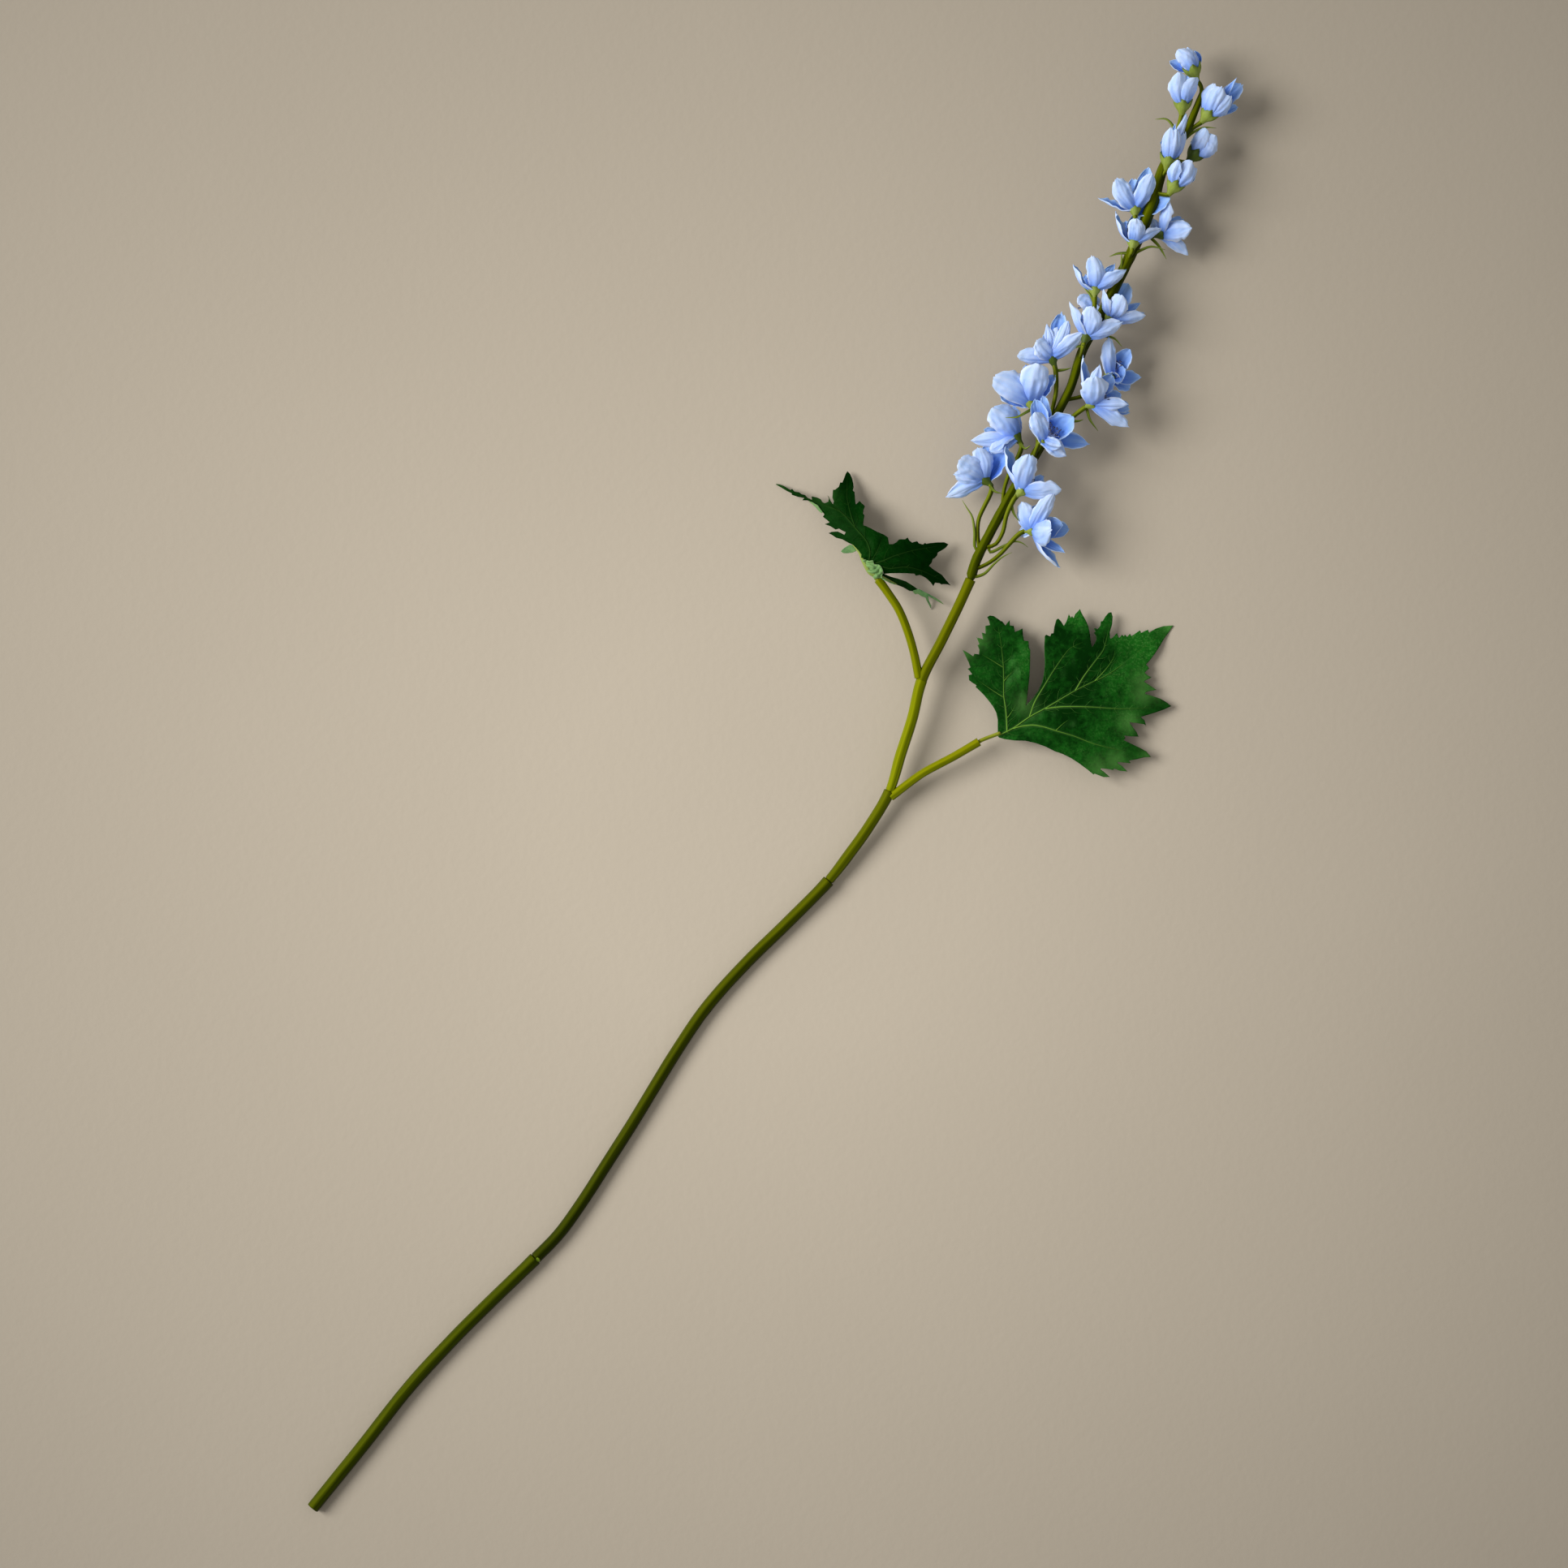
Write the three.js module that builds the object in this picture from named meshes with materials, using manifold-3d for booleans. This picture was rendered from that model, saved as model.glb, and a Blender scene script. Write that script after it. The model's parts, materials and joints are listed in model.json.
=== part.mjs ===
// A stem of artificial larkspur lying on a surface: moulded stem tubes plugged into each other,
// two stamped fabric leaves, and a spike of buds and open blooms on a moulded green axis.
// Millimetres, +Z up. The flower end points towards +X and +Y.
import * as THREE from "three";
import { mergeVertices } from "three/addons/utils/BufferGeometryUtils.js";
import Module from "manifold-3d";

const wasm = await Module();
wasm.setup();

// Driving dimensions
const GAP = 0.3; // air between pieces that touch
const STEM_SIDES = 8; // the tubes are ribbed, with eight flats
const LOWER_WIDTH = 6.2; // across the flats
const MIDDLE_WIDTH = 5.8;
const UPPER_WIDTH = 5.3;
const SLEEVE_WIDTH = 4.9;
const PETIOLE_WIDTH = 4.0;
const PEG_DEPTH = 6.5; // how far a tube's peg reaches into the next tube
const WALL = 0.95; // wall of a tube round the peg it holds
const AXIS_PEG_STEP = 0.7; // the flower axis is this much narrower where it goes into its tube
const STEM_STEP = 12; // length of one straight stretch of a curved tube
const AXIS_WIDTHS = [3.7, 3.6, 3.4, 3.2, 3.3, 4.3, 3.4, 3.2, 2.8, 1.9]; // up the spike
const STALK_WIDTH = 1.6; // flower stalks
const BRACT_WIDTH = 1.2; // whisker-like bracts at their root
const LEAF_STALK_WIDTH = 1.7;
const BLADE = 0.75; // thickness of leaves and petals
const FINE = 0.12; // surfaces may be evened out by this much
const LEAF_MESH = 12; // longest side of the triangles that a leaf's surface bends along
const PETALS = 5;
const CUP_LENGTH = 5; // calyx cup, from its stalk to the mouth that the petals leave from
const FOOT_END = 6.6; // top of the foot that joins an open bloom's petals
const STAMEN_COUNT = 5;
const STAMEN_LENGTH = 6.5;

// The stem's centre line from the cut end: x, y and height above the surface.
// The lower part lies down, and from the collar on it rises towards the flowers.
const STEM_LINE = [
  [-216.8, -340.7, 3.1],
  [-193.2, -311.4, 3.1],
  [-171.6, -284.1, 3.1],
  [-150.7, -261.3, 3.1],
  [-135.5, -246.1, 3.1],
  [-112.7, -224.0, 3.1],
  [-101.3, -212.2, 3.0],
  [-90.6, -197.4, 2.95],
  [-80.4, -181.5, 2.95],
  [-67.1, -160.6, 2.95],
  [-46.2, -126.4, 2.95],
  [-32.9, -107.0, 2.95],
  [-13.9, -85.7, 2.95],
  [5.1, -67.1, 3.2],
  [24.5, -47.3, 4.2],
  [35.4, -33.2, 5.2],
  [43.0, -22.5, 6.2],
  [52.9, -5.5, 8.0],
  [58.1, 11.6, 9.6],
  [63.5, 28.6, 11.0],
  [67.9, 46.4, 12.4],
  [77.0, 64.5, 13.6],
  [85.3, 81.5, 14.6],
  [90.6, 93.2, 15.2],
];
const JOINT_AT = { first: 5, collar: 14, fork: 17, upperFork: 20, sleeveEnd: 23 };

// The flower axis goes on from the sleeve end to its bare cut tip.
const AXIS_LINE = [
  [90.6, 93.2, 15.2],
  [92.9, 101.4, 15.6],
  [102.6, 120.4, 16.5],
  [111.7, 137.0, 17.0],
  [120.4, 150.5, 17.0],
  [130.6, 169.8, 17.5],
  [136.7, 181.9, 18.0],
  [142.3, 198.9, 18.0],
  [148.7, 211.7, 18.5],
  [155.9, 225.7, 18.5],
  [165.6, 245.6, 19.0],
  [175.8, 270.1, 19.0],
  [180.0, 284.4, 19.5],
  [190.5, 301.1, 20.0],
  [198.9, 321.0, 20.0],
];

const LEFT_PETIOLE = [
  [67.0, 45.0, 12.6],
  [64.2, 59.0, 13.4],
  [61.2, 69.2, 14.0],
  [57.0, 79.3, 14.4],
  [52.4, 86.4, 14.6],
  [49.3, 90.8, 14.7],
];
const RIGHT_PETIOLE = [
  [55.0, -6.5, 8.4],
  [67.9, 2.8, 9.0],
  [75.6, 6.9, 9.4],
  [82.8, 10.7, 9.6],
  [94.6, 17.6, 9.8],
];

// Flowers from the tip of the spike down. "at" is where the calyx cup meets its stalk, "faces" the
// compass angle and "lift" the rise of the flower's axis, "roll" turns its petals about that axis,
// "spread" is how far they open, "curl" how much they cup inwards, and "petal" their length and
// width. "bends" are single petals that stand otherwise, counted from the one nearest the sky.
const FLOWERS = [
  {
    at: [195.7, 325.2, 20], faces: 112, lift: 0, roll: -45, spread: 20, curl: 46,
    petal: [11.5, 9.5], bud: true, bends: { 4: { turn: 20, spread: 50, length: 12 } },
  },
  {
    at: [188.5, 308.8, 21], faces: 86, lift: 0, roll: -18, spread: 17, curl: 40,
    petal: [15, 9.5], bud: true, bends: { 1: { spread: 28, width: 11 } },
  },
  {
    at: [197.7, 305.6, 19], faces: 50, lift: 2, roll: -51, spread: 24, curl: 38,
    petal: [15, 10.5], bud: true,
    bends: {
      2: { length: 13 },
      3: { turn: -42, spread: 20, length: 20 },
      4: { turn: -38, spread: 8, length: 19, point: 1 },
    },
  },
  {
    at: [181.3, 283.1, 22], faces: 78, lift: 0, roll: 20, spread: 18, curl: 44,
    petal: [15, 9.5], bud: true,
    bends: { 2: { turn: -60, spread: 16, length: 19, width: 7 }, 4: { spread: 21 } },
  },
  {
    at: [191.6, 287.6, 14], faces: 48, lift: -2, roll: -42, spread: 21, curl: 44,
    petal: [12.5, 11], bud: true,
  },
  {
    at: [182.3, 271.6, 24], faces: 58, lift: 0, roll: -50, spread: 22, curl: 44,
    petal: [14, 10.5], bud: true,
  },
  {
    at: [166.9, 260.8, 22], faces: 92, lift: -22, roll: 36, spread: 46, curl: 40,
    petal: [16, 9.5],
    bends: {
      1: { spread: 64, length: 18 },
      2: { turn: -140, spread: 16, length: 20 },
      3: { spread: 62, length: 18, point: 1 },
    },
  },
  {
    at: [165.3, 245.2, 24], faces: 82, lift: -22, roll: 5, spread: 44, curl: 35,
    petal: [14, 9],
    bends: {
      1: { spread: 58, length: 16, point: 0.8 },
      2: { turn: -60, spread: 14, length: 18 },
      4: { spread: 38, length: 16.5, point: 1 },
    },
  },
  {
    at: [174.8, 253.0, 16], faces: 16, lift: -12, roll: 0, spread: 56, curl: 30,
    petal: [15.5, 9.5],
    bends: { 0: { spread: 40 }, 1: { spread: 52, length: 17, point: 1 }, 4: { spread: 60 } },
  },
  {
    at: [147.9, 223.3, 25], faces: 90, lift: -22, roll: -2, spread: 46, curl: 30,
    petal: [15, 9.5],
    bends: {
      1: { spread: 62, length: 17, point: 0.9 },
      2: { turn: -20, spread: 40, length: 17.5, point: 1 },
      4: { spread: 44, point: 1 },
    },
  },
  {
    at: [152.7, 210.8, 20], faces: 55, lift: 0, roll: 0, spread: 46, curl: 30,
    petal: [14.5, 9.5],
    bends: {
      1: { spread: 60, length: 17, point: 0.8 },
      2: { turn: -20, spread: 40, length: 17, point: 1 },
      3: { turn: -30, spread: 26, length: 19 },
      4: { spread: 48, point: 1 },
    },
  },
  {
    at: [142.6, 201.3, 27], faces: 76, lift: -20, roll: 4, spread: 46, curl: 35,
    petal: [15, 10.5],
    bends: {
      1: { spread: 64, length: 18.5, point: 0.8 },
      4: { spread: 42, length: 17.5, point: 1 },
    },
  },
  {
    at: [129.6, 191.4, 22], faces: 108, lift: -5, roll: 0, spread: 50, curl: 45,
    petal: [16, 12.5],
    bends: {
      0: { turn: -15, spread: 56 },
      1: { spread: 68, length: 18.5, width: 12, point: 0.9 },
      2: { turn: -70, spread: 24, length: 21 },
      3: { turn: 40, spread: 12, length: 18, point: 1 },
      4: { spread: 70, length: 17.5, point: 0.6 },
    },
  },
  {
    at: [119.9, 171.2, 19.5], faces: 110, lift: -15, roll: 37, spread: 48, curl: 35,
    petal: [18, 13.5],
    bends: {
      1: { spread: 56, length: 16, width: 10 },
      3: { spread: 60, length: 17, width: 10, point: 1 },
      4: { spread: 52, length: 20 },
    },
  },
  {
    at: [152.5, 185.8, 11], faces: 46, lift: -5, roll: 0, spread: 48, curl: 30,
    petal: [15.5, 10.5],
    bends: { 1: { length: 14.5, point: 1 }, 4: { spread: 56, point: 0.8 } },
  },
  {
    at: [143.2, 172.6, 22], faces: 30, lift: 10, roll: -48, spread: 54, curl: 38,
    petal: [15.5, 12], twist: 0, double: true,
    bends: {
      1: { turn: 25, spread: 58, length: 20, point: 0.7 },
      2: { length: 17 },
      3: { spread: 40, length: 20 },
      4: { turn: 8, spread: 76, length: 22, width: 10, point: 1 },
    },
  },
  {
    at: [121.9, 155.8, 25], faces: 40, lift: 36, roll: 36, spread: 56, curl: 30,
    petal: [17.5, 12], twist: 0, double: true,
    bends: {
      0: { turn: 14, spread: 60, length: 15 },
      1: { length: 20, point: 1 },
      3: { length: 19, width: 13 },
      4: { turn: -26, spread: 60, length: 16 },
    },
  },
  {
    at: [114.4, 156.0, 14.5], faces: 128, lift: -12, roll: 0, spread: 44, curl: 38,
    petal: [17, 12.5],
    bends: {
      1: { spread: 52, length: 16 },
      3: { spread: 40 },
      4: { spread: 62, length: 20, point: 1 },
    },
  },
  {
    at: [100.5, 136.8, 13], faces: 138, lift: -12, roll: 0, spread: 44, curl: 38,
    petal: [16.5, 12.5],
    bends: {
      1: { spread: 74, length: 17.5 },
      2: { spread: 34 },
      3: { spread: 34 },
      4: { spread: 68, length: 20, point: 0.8 },
    },
  },
  {
    at: [111.0, 131.0, 24], faces: 46, lift: 0, roll: -36, spread: 50, curl: 35,
    petal: [17, 11.5],
    bends: { 1: { spread: 56, length: 18.5 }, 4: { spread: 66, length: 20, point: 1 } },
  },
  {
    at: [114.7, 115.4, 18], faces: 8, lift: 10, roll: 0, spread: 50, curl: 38,
    petal: [16, 12.5], twist: 10, double: true,
    bends: {
      1: { spread: 60, length: 20, width: 11, point: 0.9 },
      3: { turn: 60, spread: 88, length: 16, width: 13 },
      4: { spread: 52, length: 20, point: 1 },
    },
  },
  {
    at: [152.2, 215.9, 7], faces: 142, lift: -2, roll: 0, spread: 46, curl: 30,
    petal: [14.5, 9.5],
    bends: { 2: { spread: 24 }, 3: { spread: 24 }, 4: { spread: 24 } },
  },
];

// The route of each flower's stalk from the axis; the flower's own place ends it.
const STALKS = [
  [[197.9, 318.8, 19.6], [197.5, 322.4, 19.6]],
  [[184.6, 293.4, 19.4], [186.0, 298.4, 20], [187.1, 303.3, 21]],
  [[189.0, 298.0, 19.6], [191.4, 301.0, 19.4], [194.2, 303.3, 19]],
  [[177.9, 279.0, 19.4], [179.8, 280.9, 20.6]],
  [[183.6, 288.8, 19.0], [187.6, 287.9, 15.8]],
  [[176.3, 273.5, 19.4], [178.8, 272.0, 22]],
  [[170.2, 254.0, 19], [168.6, 257.6, 20.6]],
  [[163.9, 242.2, 19.4], [164.6, 243.7, 21.8]],
  [[168.6, 253.2, 18.8], [171.7, 252.7, 16.6]],
  [[147.0, 206.7, 18.8], [147.6, 213.0, 21.4], [147.9, 218.3, 23.5]],
  [[148.6, 209.9, 18.8], [150.6, 209.5, 19.6]],
  [[141.6, 196.2, 18.4], [142.0, 198.4, 22.5]],
  [[125.4, 160.2, 17.4], [128.4, 171.6, 18.6], [130.2, 181.1, 20.4]],
  [[120.5, 152.6, 17.4], [122.0, 161.6, 16.8], [121.2, 166.9, 17.6]],
  [[137.0, 175.4, 17.6], [143.1, 178.8, 13.6], [148.4, 182.6, 11.4]],
  [[129.2, 161.2, 17.6], [133.7, 165.0, 19.4], [138.1, 168.7, 20.8]],
  [[119.8, 149.0, 17.4], [120.6, 152.4, 21.6]],
  [[106.4, 125.4, 16.4], [106.1, 134.5, 15.2], [109.2, 143.9, 14.2], [112.9, 150.8, 14]],
  [[95.7, 105.9, 15.6], [93.9, 113.5, 14], [94.4, 121.1, 13], [97.1, 127.5, 12.6],
    [99.7, 132.9, 12.6]],
  [[98.1, 106.6, 16], [101.7, 109.2, 17.8], [105.4, 114.9, 20], [107.0, 122.5, 22],
    [109.2, 127.8, 23.4]],
  [[93.2, 97.3, 15.8], [98.8, 100.7, 16], [104.2, 104.8, 16.6], [108.3, 109.3, 17.2],
    [111.7, 113.1, 17.6]],
  [[153.4, 220.8, 18.4], [153.6, 217.9, 11.4]],
];

// Bracts: each starts inside the axis, a stalk or a cup and ends in a point.
const BRACTS = [
  [[92.8, 107.5, 15.4], [92.4, 115.5, 14.8], [91.2, 122.7, 13.8], [88.9, 126.5, 13], [86.7, 130.3, 12]],
  [[99.5, 105.9, 16], [106.4, 108.9, 16.6], [110.9, 110.8, 17], [114.3, 110.2, 16.8], [117.3, 108.1, 16]],
  [[92.6, 94.4, 15.8], [96.9, 95.8, 16], [101.5, 100.4, 16.2], [105.7, 103.8, 16.6], [109.8, 105.7, 17]],
  [[109.3, 128.6, 23.4], [110.4, 123.7, 22], [113.1, 119.9, 21]],
  [[99.6, 137.2, 13.4], [101.8, 134.2, 15.4], [105.7, 133.0, 15.6]],
  [[113.8, 156.6, 16.6], [115.9, 153.9, 18.4], [118.4, 155.4, 19.6]],
  [[119.4, 172.2, 22], [115.6, 170.2, 24.6], [111.9, 168.3, 25], [106.4, 168.0, 24]],
  [[144.0, 173.0, 21], [145.8, 167.4, 21], [149.7, 162.0, 20]],
  [[136.0, 166.9, 20.2], [139.9, 166.6, 20.2], [143.0, 167.4, 20]],
  [[148.9, 207.2, 18.8], [153.3, 206.1, 19], [157.1, 205.3, 18.6], [161.0, 201.3, 17.6]],
  [[142.4, 201.0, 24.6], [140.0, 201.0, 24.6], [137.4, 200.0, 23]],
  [[164.4, 244.6, 19.6], [159.0, 244.6, 19.6], [154.8, 243.1, 19]],
  [[165.8, 244.2, 20], [169.8, 246.2, 20.4], [174.4, 247.8, 20], [181.0, 246.4, 19]],
  [[174.4, 252.4, 16], [178.0, 248.6, 16], [181.8, 242.4, 15]],
  [[185.0, 299.0, 20.2], [184.6, 303.4, 20.4], [181.4, 307.0, 20.2], [176.2, 307.0, 19.6]],
  [[189.2, 297.4, 19.6], [193.8, 301.0, 18.4], [199.2, 303.4, 17.6], [204.8, 303.2, 17.4]],
  [[148.0, 219.8, 24], [146.2, 224.6, 23.4], [142.6, 229.0, 22]],
  [[129.8, 190.0, 21.6], [133.6, 190.4, 20.6], [137.4, 191.4, 19.6]],
  [[160.8, 236.6, 19.6], [160.6, 241.6, 21.4], [160.4, 244.8, 21.2]],
];

// Leaf outlines, anticlockwise from the stalk: lobe tips, notches and the saw teeth between them.
const RIGHT_LEAF_BASE = [103.2, 20.9];
const RIGHT_LEAF = [
  [0, 0.4], [-0.4, 6.8], [-2.4, 12.2], [-7.6, 20], [-12.6, 25.4], [-13.3, 28.5], [-16.3, 39.9],
  [-11.6, 37], [-10.2, 44], [-7.2, 46.6], [-7.4, 49.6], [-4.4, 55.6], [-1.6, 54.4], [3.6, 50.4],
  [6, 54.2], [8, 50], [12, 50.2], [12.4, 46.2], [15, 44], [15.4, 39], [14.4, 21], [13.2, 13.7],
  [20, 22], [22, 32], [21.6, 42.4], [24.6, 46], [26.4, 52], [28.2, 54.6], [31.2, 51], [33.8, 56.4],
  [36, 55.6], [38.7, 59.2], [42.2, 54.6], [44.6, 41.7], [46.2, 44], [45.2, 50], [49, 52.4],
  [53.4, 57.6], [52.6, 45], [56, 47.6], [58.4, 45.2], [66.6, 48.4], [70.4, 49.6], [82.4, 51],
  [75.6, 42], [69.6, 32.8], [72.6, 31.4], [69.6, 27.6], [74.4, 21.4], [69, 19.4], [81.4, 12.9],
  [75.4, 10.6], [67.4, 8.2], [70, 4.6], [62.6, 5.4], [65.6, -0.2], [59.4, 0], [72, -10.1],
  [64, -12.4], [61, -13.4], [56, -13.6], [60.4, -17.2], [47.8, -15.8], [52.6, -20.3], [44.6, -18.6],
  [39.4, -14.2], [33.6, -10.4], [26.4, -8], [19.4, -4.8], [12.2, -2.8], [6.2, -2.4], [0.8, -1],
];
const RIGHT_LEAF_VEINS = [
  [[0, 0], [22, 13.6], [44, 25.2], [66, 39.2]],
  [[0, 0], [4.2, 10], [3.4, 22], [3.8, 36]],
  [[4, 1.6], [16, 5.2], [28, 4.2], [40, -3]],
];
const LEFT_LEAF_BASE = [46.4, 93.4];
const LEFT_LEAF = [
  [0, -0.4], [-5.6, 8], [-7, 12.6], [-10.4, 17.4], [-17, 19.4], [-21.8, 22], [-16.6, 22.8],
  [-14.4, 22.4], [-19, 23.8], [-23.6, 26], [-21.6, 27], [-24.6, 30], [-25, 31.6], [-30, 36.4],
  [-34, 37.6], [-38.8, 40.4], [-47.2, 45.2], [-41.4, 43.4], [-38.2, 42.2], [-32.6, 39.6],
  [-29.6, 39], [-26.4, 37.8], [-23.8, 36], [-22.6, 37.4], [-22.8, 40.2], [-21.2, 37.6], [-20, 35.4],
  [-20.2, 42.2], [-16.6, 45.2], [-15, 47], [-13.2, 50.8], [-11.4, 48.2], [-10.4, 44], [-10, 41],
  [-9.6, 35.4], [-7.8, 37], [-5.8, 35], [-5, 34.4], [-6.2, 30.6], [-6, 25.6], [1.8, 21.8],
  [5.8, 20], [6, 16.8], [10.2, 18], [14.8, 19.8], [15.6, 18], [19.4, 18], [25.4, 17.2],
  [27.8, 17.8], [34.2, 17.2], [32, 15], [29, 12.6], [25, 6.4], [30.2, 2.8], [35, -2.4], [30.4, -2.2],
  [27, -3], [23, 1], [18.8, 2.4], [14, 3.4], [8, 3.4], [4.2, 2.8],
];
// The arched leaf's ridge with its heights, from the stalk to the far narrow lobe.
const LEFT_RIDGE = [
  [0, 0, 15.6], [3.4, 11, 19], [-5, 23, 17], [-20, 34.4, 9.4], [-47.2, 45.2, 0.5],
];
// Two lobes of that leaf are folded down beside the stalk and show their undersides: middle line,
// width, and how far each leans from upright.
const LEFT_FOLDS = [
  { line: [[1.6, 1.4, 15.4], [14.4, -3.4, 9], [24, -7.6, 5.6], [32.8, -11.6, 3]], width: 8.6, lean: 24 },
  { line: [[-1.4, 3.6, 16], [-7.6, 8.6, 10], [-15.4, 12.8, 4]], width: 7.6, lean: -34 },
];

const MATERIALS = {
  lowerPlastic: new THREE.MeshStandardMaterial({ color: 0x44540c, roughness: 0.45, metalness: 0 }),
  upperPlastic: new THREE.MeshStandardMaterial({ color: 0x747a10, roughness: 0.45, metalness: 0 }),
  axisPlastic: new THREE.MeshStandardMaterial({ color: 0x68761e, roughness: 0.5, metalness: 0 }),
  leafFabric: new THREE.MeshStandardMaterial({ color: 0x0e4a12, roughness: 0.7, metalness: 0 }),
  petalFabric: new THREE.MeshStandardMaterial({ color: 0x8fb1ee, roughness: 0.8, metalness: 0 }),
  stamenPlastic: new THREE.MeshStandardMaterial({ color: 0x3c2c4a, roughness: 0.6, metalness: 0 }),
};

const rad = THREE.MathUtils.degToRad;
const vec = (p) => new THREE.Vector3(p[0], p[1], p[2] || 0);
const UP = new THREE.Vector3(0, 0, 1);

// Points and faces as a closed body with its faces turned outwards.
function body(points, faces) {
  const at = new Float32Array(points.flatMap((p) => [p.x, p.y, p.z]));
  let volume = 0;
  for (const [a, b, c] of faces) {
    volume += points[a].dot(new THREE.Vector3().crossVectors(points[b], points[c]));
  }
  const turned = volume < 0 ? faces.map(([a, b, c]) => [a, c, b]) : faces;
  const geometry = new THREE.BufferGeometry();
  geometry.setAttribute("position", new THREE.BufferAttribute(at, 3));
  geometry.setIndex(turned.flat());
  return geometry;
}

// Rings of equal length joined one to the next and closed at both ends. From ring place
// "turnAt" on, the quads are cut along their other diagonal.
function loft(rings, turnAt = Infinity) {
  const points = rings.flat();
  const count = rings[0].length;
  const faces = [];
  for (let row = 0; row < rings.length - 1; row++) {
    for (let k = 0; k < count; k++) {
      const next = (k + 1) % count;
      const a = row * count + k;
      const b = row * count + next;
      const c = a + count;
      const d = b + count;
      if (k < turnAt) faces.push([a, b, d], [a, d, c]);
      else faces.push([a, b, c], [b, d, c]);
    }
  }
  const last = points.length - count;
  for (let k = 1; k < count - 1; k++) {
    faces.push([0, k + 1, k], [last, last + k, last + k + 1]);
  }
  return body(points, faces);
}

function solid(geometry) {
  const merged = mergeVertices(geometry, 1e-5);
  return new wasm.Manifold(
    new wasm.Mesh({
      numProp: 3,
      vertProperties: merged.attributes.position.array,
      triVerts: new Uint32Array(merged.index.array),
    }),
  );
}

const join = (solids) => solids.reduce((whole, piece) => whole.add(piece));

// The largest piece of a solid: what a cut leaves loose is dropped.
function largest(whole) {
  return whole.decompose().reduce((a, b) => (a.volume() > b.volume() ? a : b));
}

function meshOf(name, whole, material) {
  const made = largest(whole.asOriginal().simplify(FINE)).getMesh();
  const geometry = new THREE.BufferGeometry();
  geometry.setAttribute("position", new THREE.BufferAttribute(made.vertProperties, 3));
  geometry.setIndex(new THREE.BufferAttribute(made.triVerts, 1));
  geometry.computeVertexNormals();
  const mesh = new THREE.Mesh(geometry, material);
  mesh.name = name;
  return mesh;
}

const curve = (points) => new THREE.CatmullRomCurve3(points.map(vec), false, "centripetal");

// A ring with a flat at its lowest side, square to a direction.
function ring(centre, direction, halfWidth, sides) {
  const side = new THREE.Vector3().crossVectors(direction, UP).normalize();
  const top = new THREE.Vector3().crossVectors(side, direction).normalize();
  const reach = halfWidth / Math.cos(Math.PI / sides);
  return Array.from({ length: sides }, (_, k) => {
    const angle = (2 * Math.PI * (k + 0.5)) / sides - Math.PI / 2;
    return centre
      .clone()
      .addScaledVector(side, reach * Math.cos(angle))
      .addScaledVector(top, reach * Math.sin(angle));
  });
}

// A bar along a curve between two distances from its start. "halfAt" gives the half width at each
// share of that stretch.
function bar(line, from, to, halfAt, sides, step) {
  const whole = line.getLength();
  const steps = Math.max(2, Math.round((to - from) / step));
  const rings = [];
  for (let k = 0; k <= steps; k++) {
    const share = k / steps;
    const u = THREE.MathUtils.clamp((from + (to - from) * share) / whole, 0, 1);
    rings.push(ring(line.getPointAt(u), line.getTangentAt(u), halfAt(share), sides));
  }
  return solid(loft(rings));
}

// Distances along the stem's centre line at which its joints lie.
const stemCurve = curve(STEM_LINE);
const stemLengths = stemCurve.getLengths((STEM_LINE.length - 1) * 20);
const along = (place) => stemLengths[place * 20];

// One tube of the stem: a ribbed bar with a peg at its lower end and a socket at its upper end.
function stemTube(from, to, width, pegWidth, socketWidth) {
  const even = (half) => () => half;
  let tube = bar(stemCurve, from, to, even(width / 2), STEM_SIDES, STEM_STEP);
  if (pegWidth) {
    const peg = bar(stemCurve, from - PEG_DEPTH, from + 2, even(pegWidth / 2), STEM_SIDES, 3);
    tube = tube.add(peg);
  }
  if (socketWidth) {
    const bore = bar(
      stemCurve, to - PEG_DEPTH - 2 * GAP, to + 2, even(socketWidth / 2 + GAP), STEM_SIDES, 3,
    );
    tube = tube.subtract(bore);
  }
  return tube;
}

function stemPieces() {
  const sections = [
    ["stem_lower", 0, along(JOINT_AT.first), LOWER_WIDTH],
    ["stem_middle", along(JOINT_AT.first), along(JOINT_AT.collar), MIDDLE_WIDTH],
    ["stem_upper", along(JOINT_AT.collar), along(JOINT_AT.fork), UPPER_WIDTH],
    ["stem_neck", along(JOINT_AT.fork), along(JOINT_AT.upperFork), UPPER_WIDTH - 0.1],
    ["stem_sleeve", along(JOINT_AT.upperFork), along(JOINT_AT.sleeveEnd), SLEEVE_WIDTH],
  ];
  const pieces = {};
  sections.forEach(([name, from, to, width], place) => {
    const pegWidth = place > 0 ? sections[place - 1][3] - 2 * WALL - 2 * GAP : 0;
    const socketWidth = width - 2 * WALL - 2 * GAP;
    const start = place > 0 ? from + GAP : from;
    // The top tube holds the flower axis.
    const held = place < sections.length - 1 ? socketWidth : AXIS_WIDTHS[0] - AXIS_PEG_STEP;
    pieces[name] = stemTube(start, to, width, pegWidth, held);
  });
  return pieces;
}

// A leaf stalk tube: cut square to the main tube it leaves, with an open end for the leaf's stalk.
function petiole(points, keepClear) {
  const line = curve(points);
  const length = line.getLength();
  const half = PETIOLE_WIDTH / 2;
  const tube = bar(line, 0, length, () => half, STEM_SIDES, 9);
  const bore = bar(line, length - 5, length + 1, () => LEAF_STALK_WIDTH / 2 + 0.35, 6, 3);
  return largest(tube.subtract(bore).subtract(keepClear));
}

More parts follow.
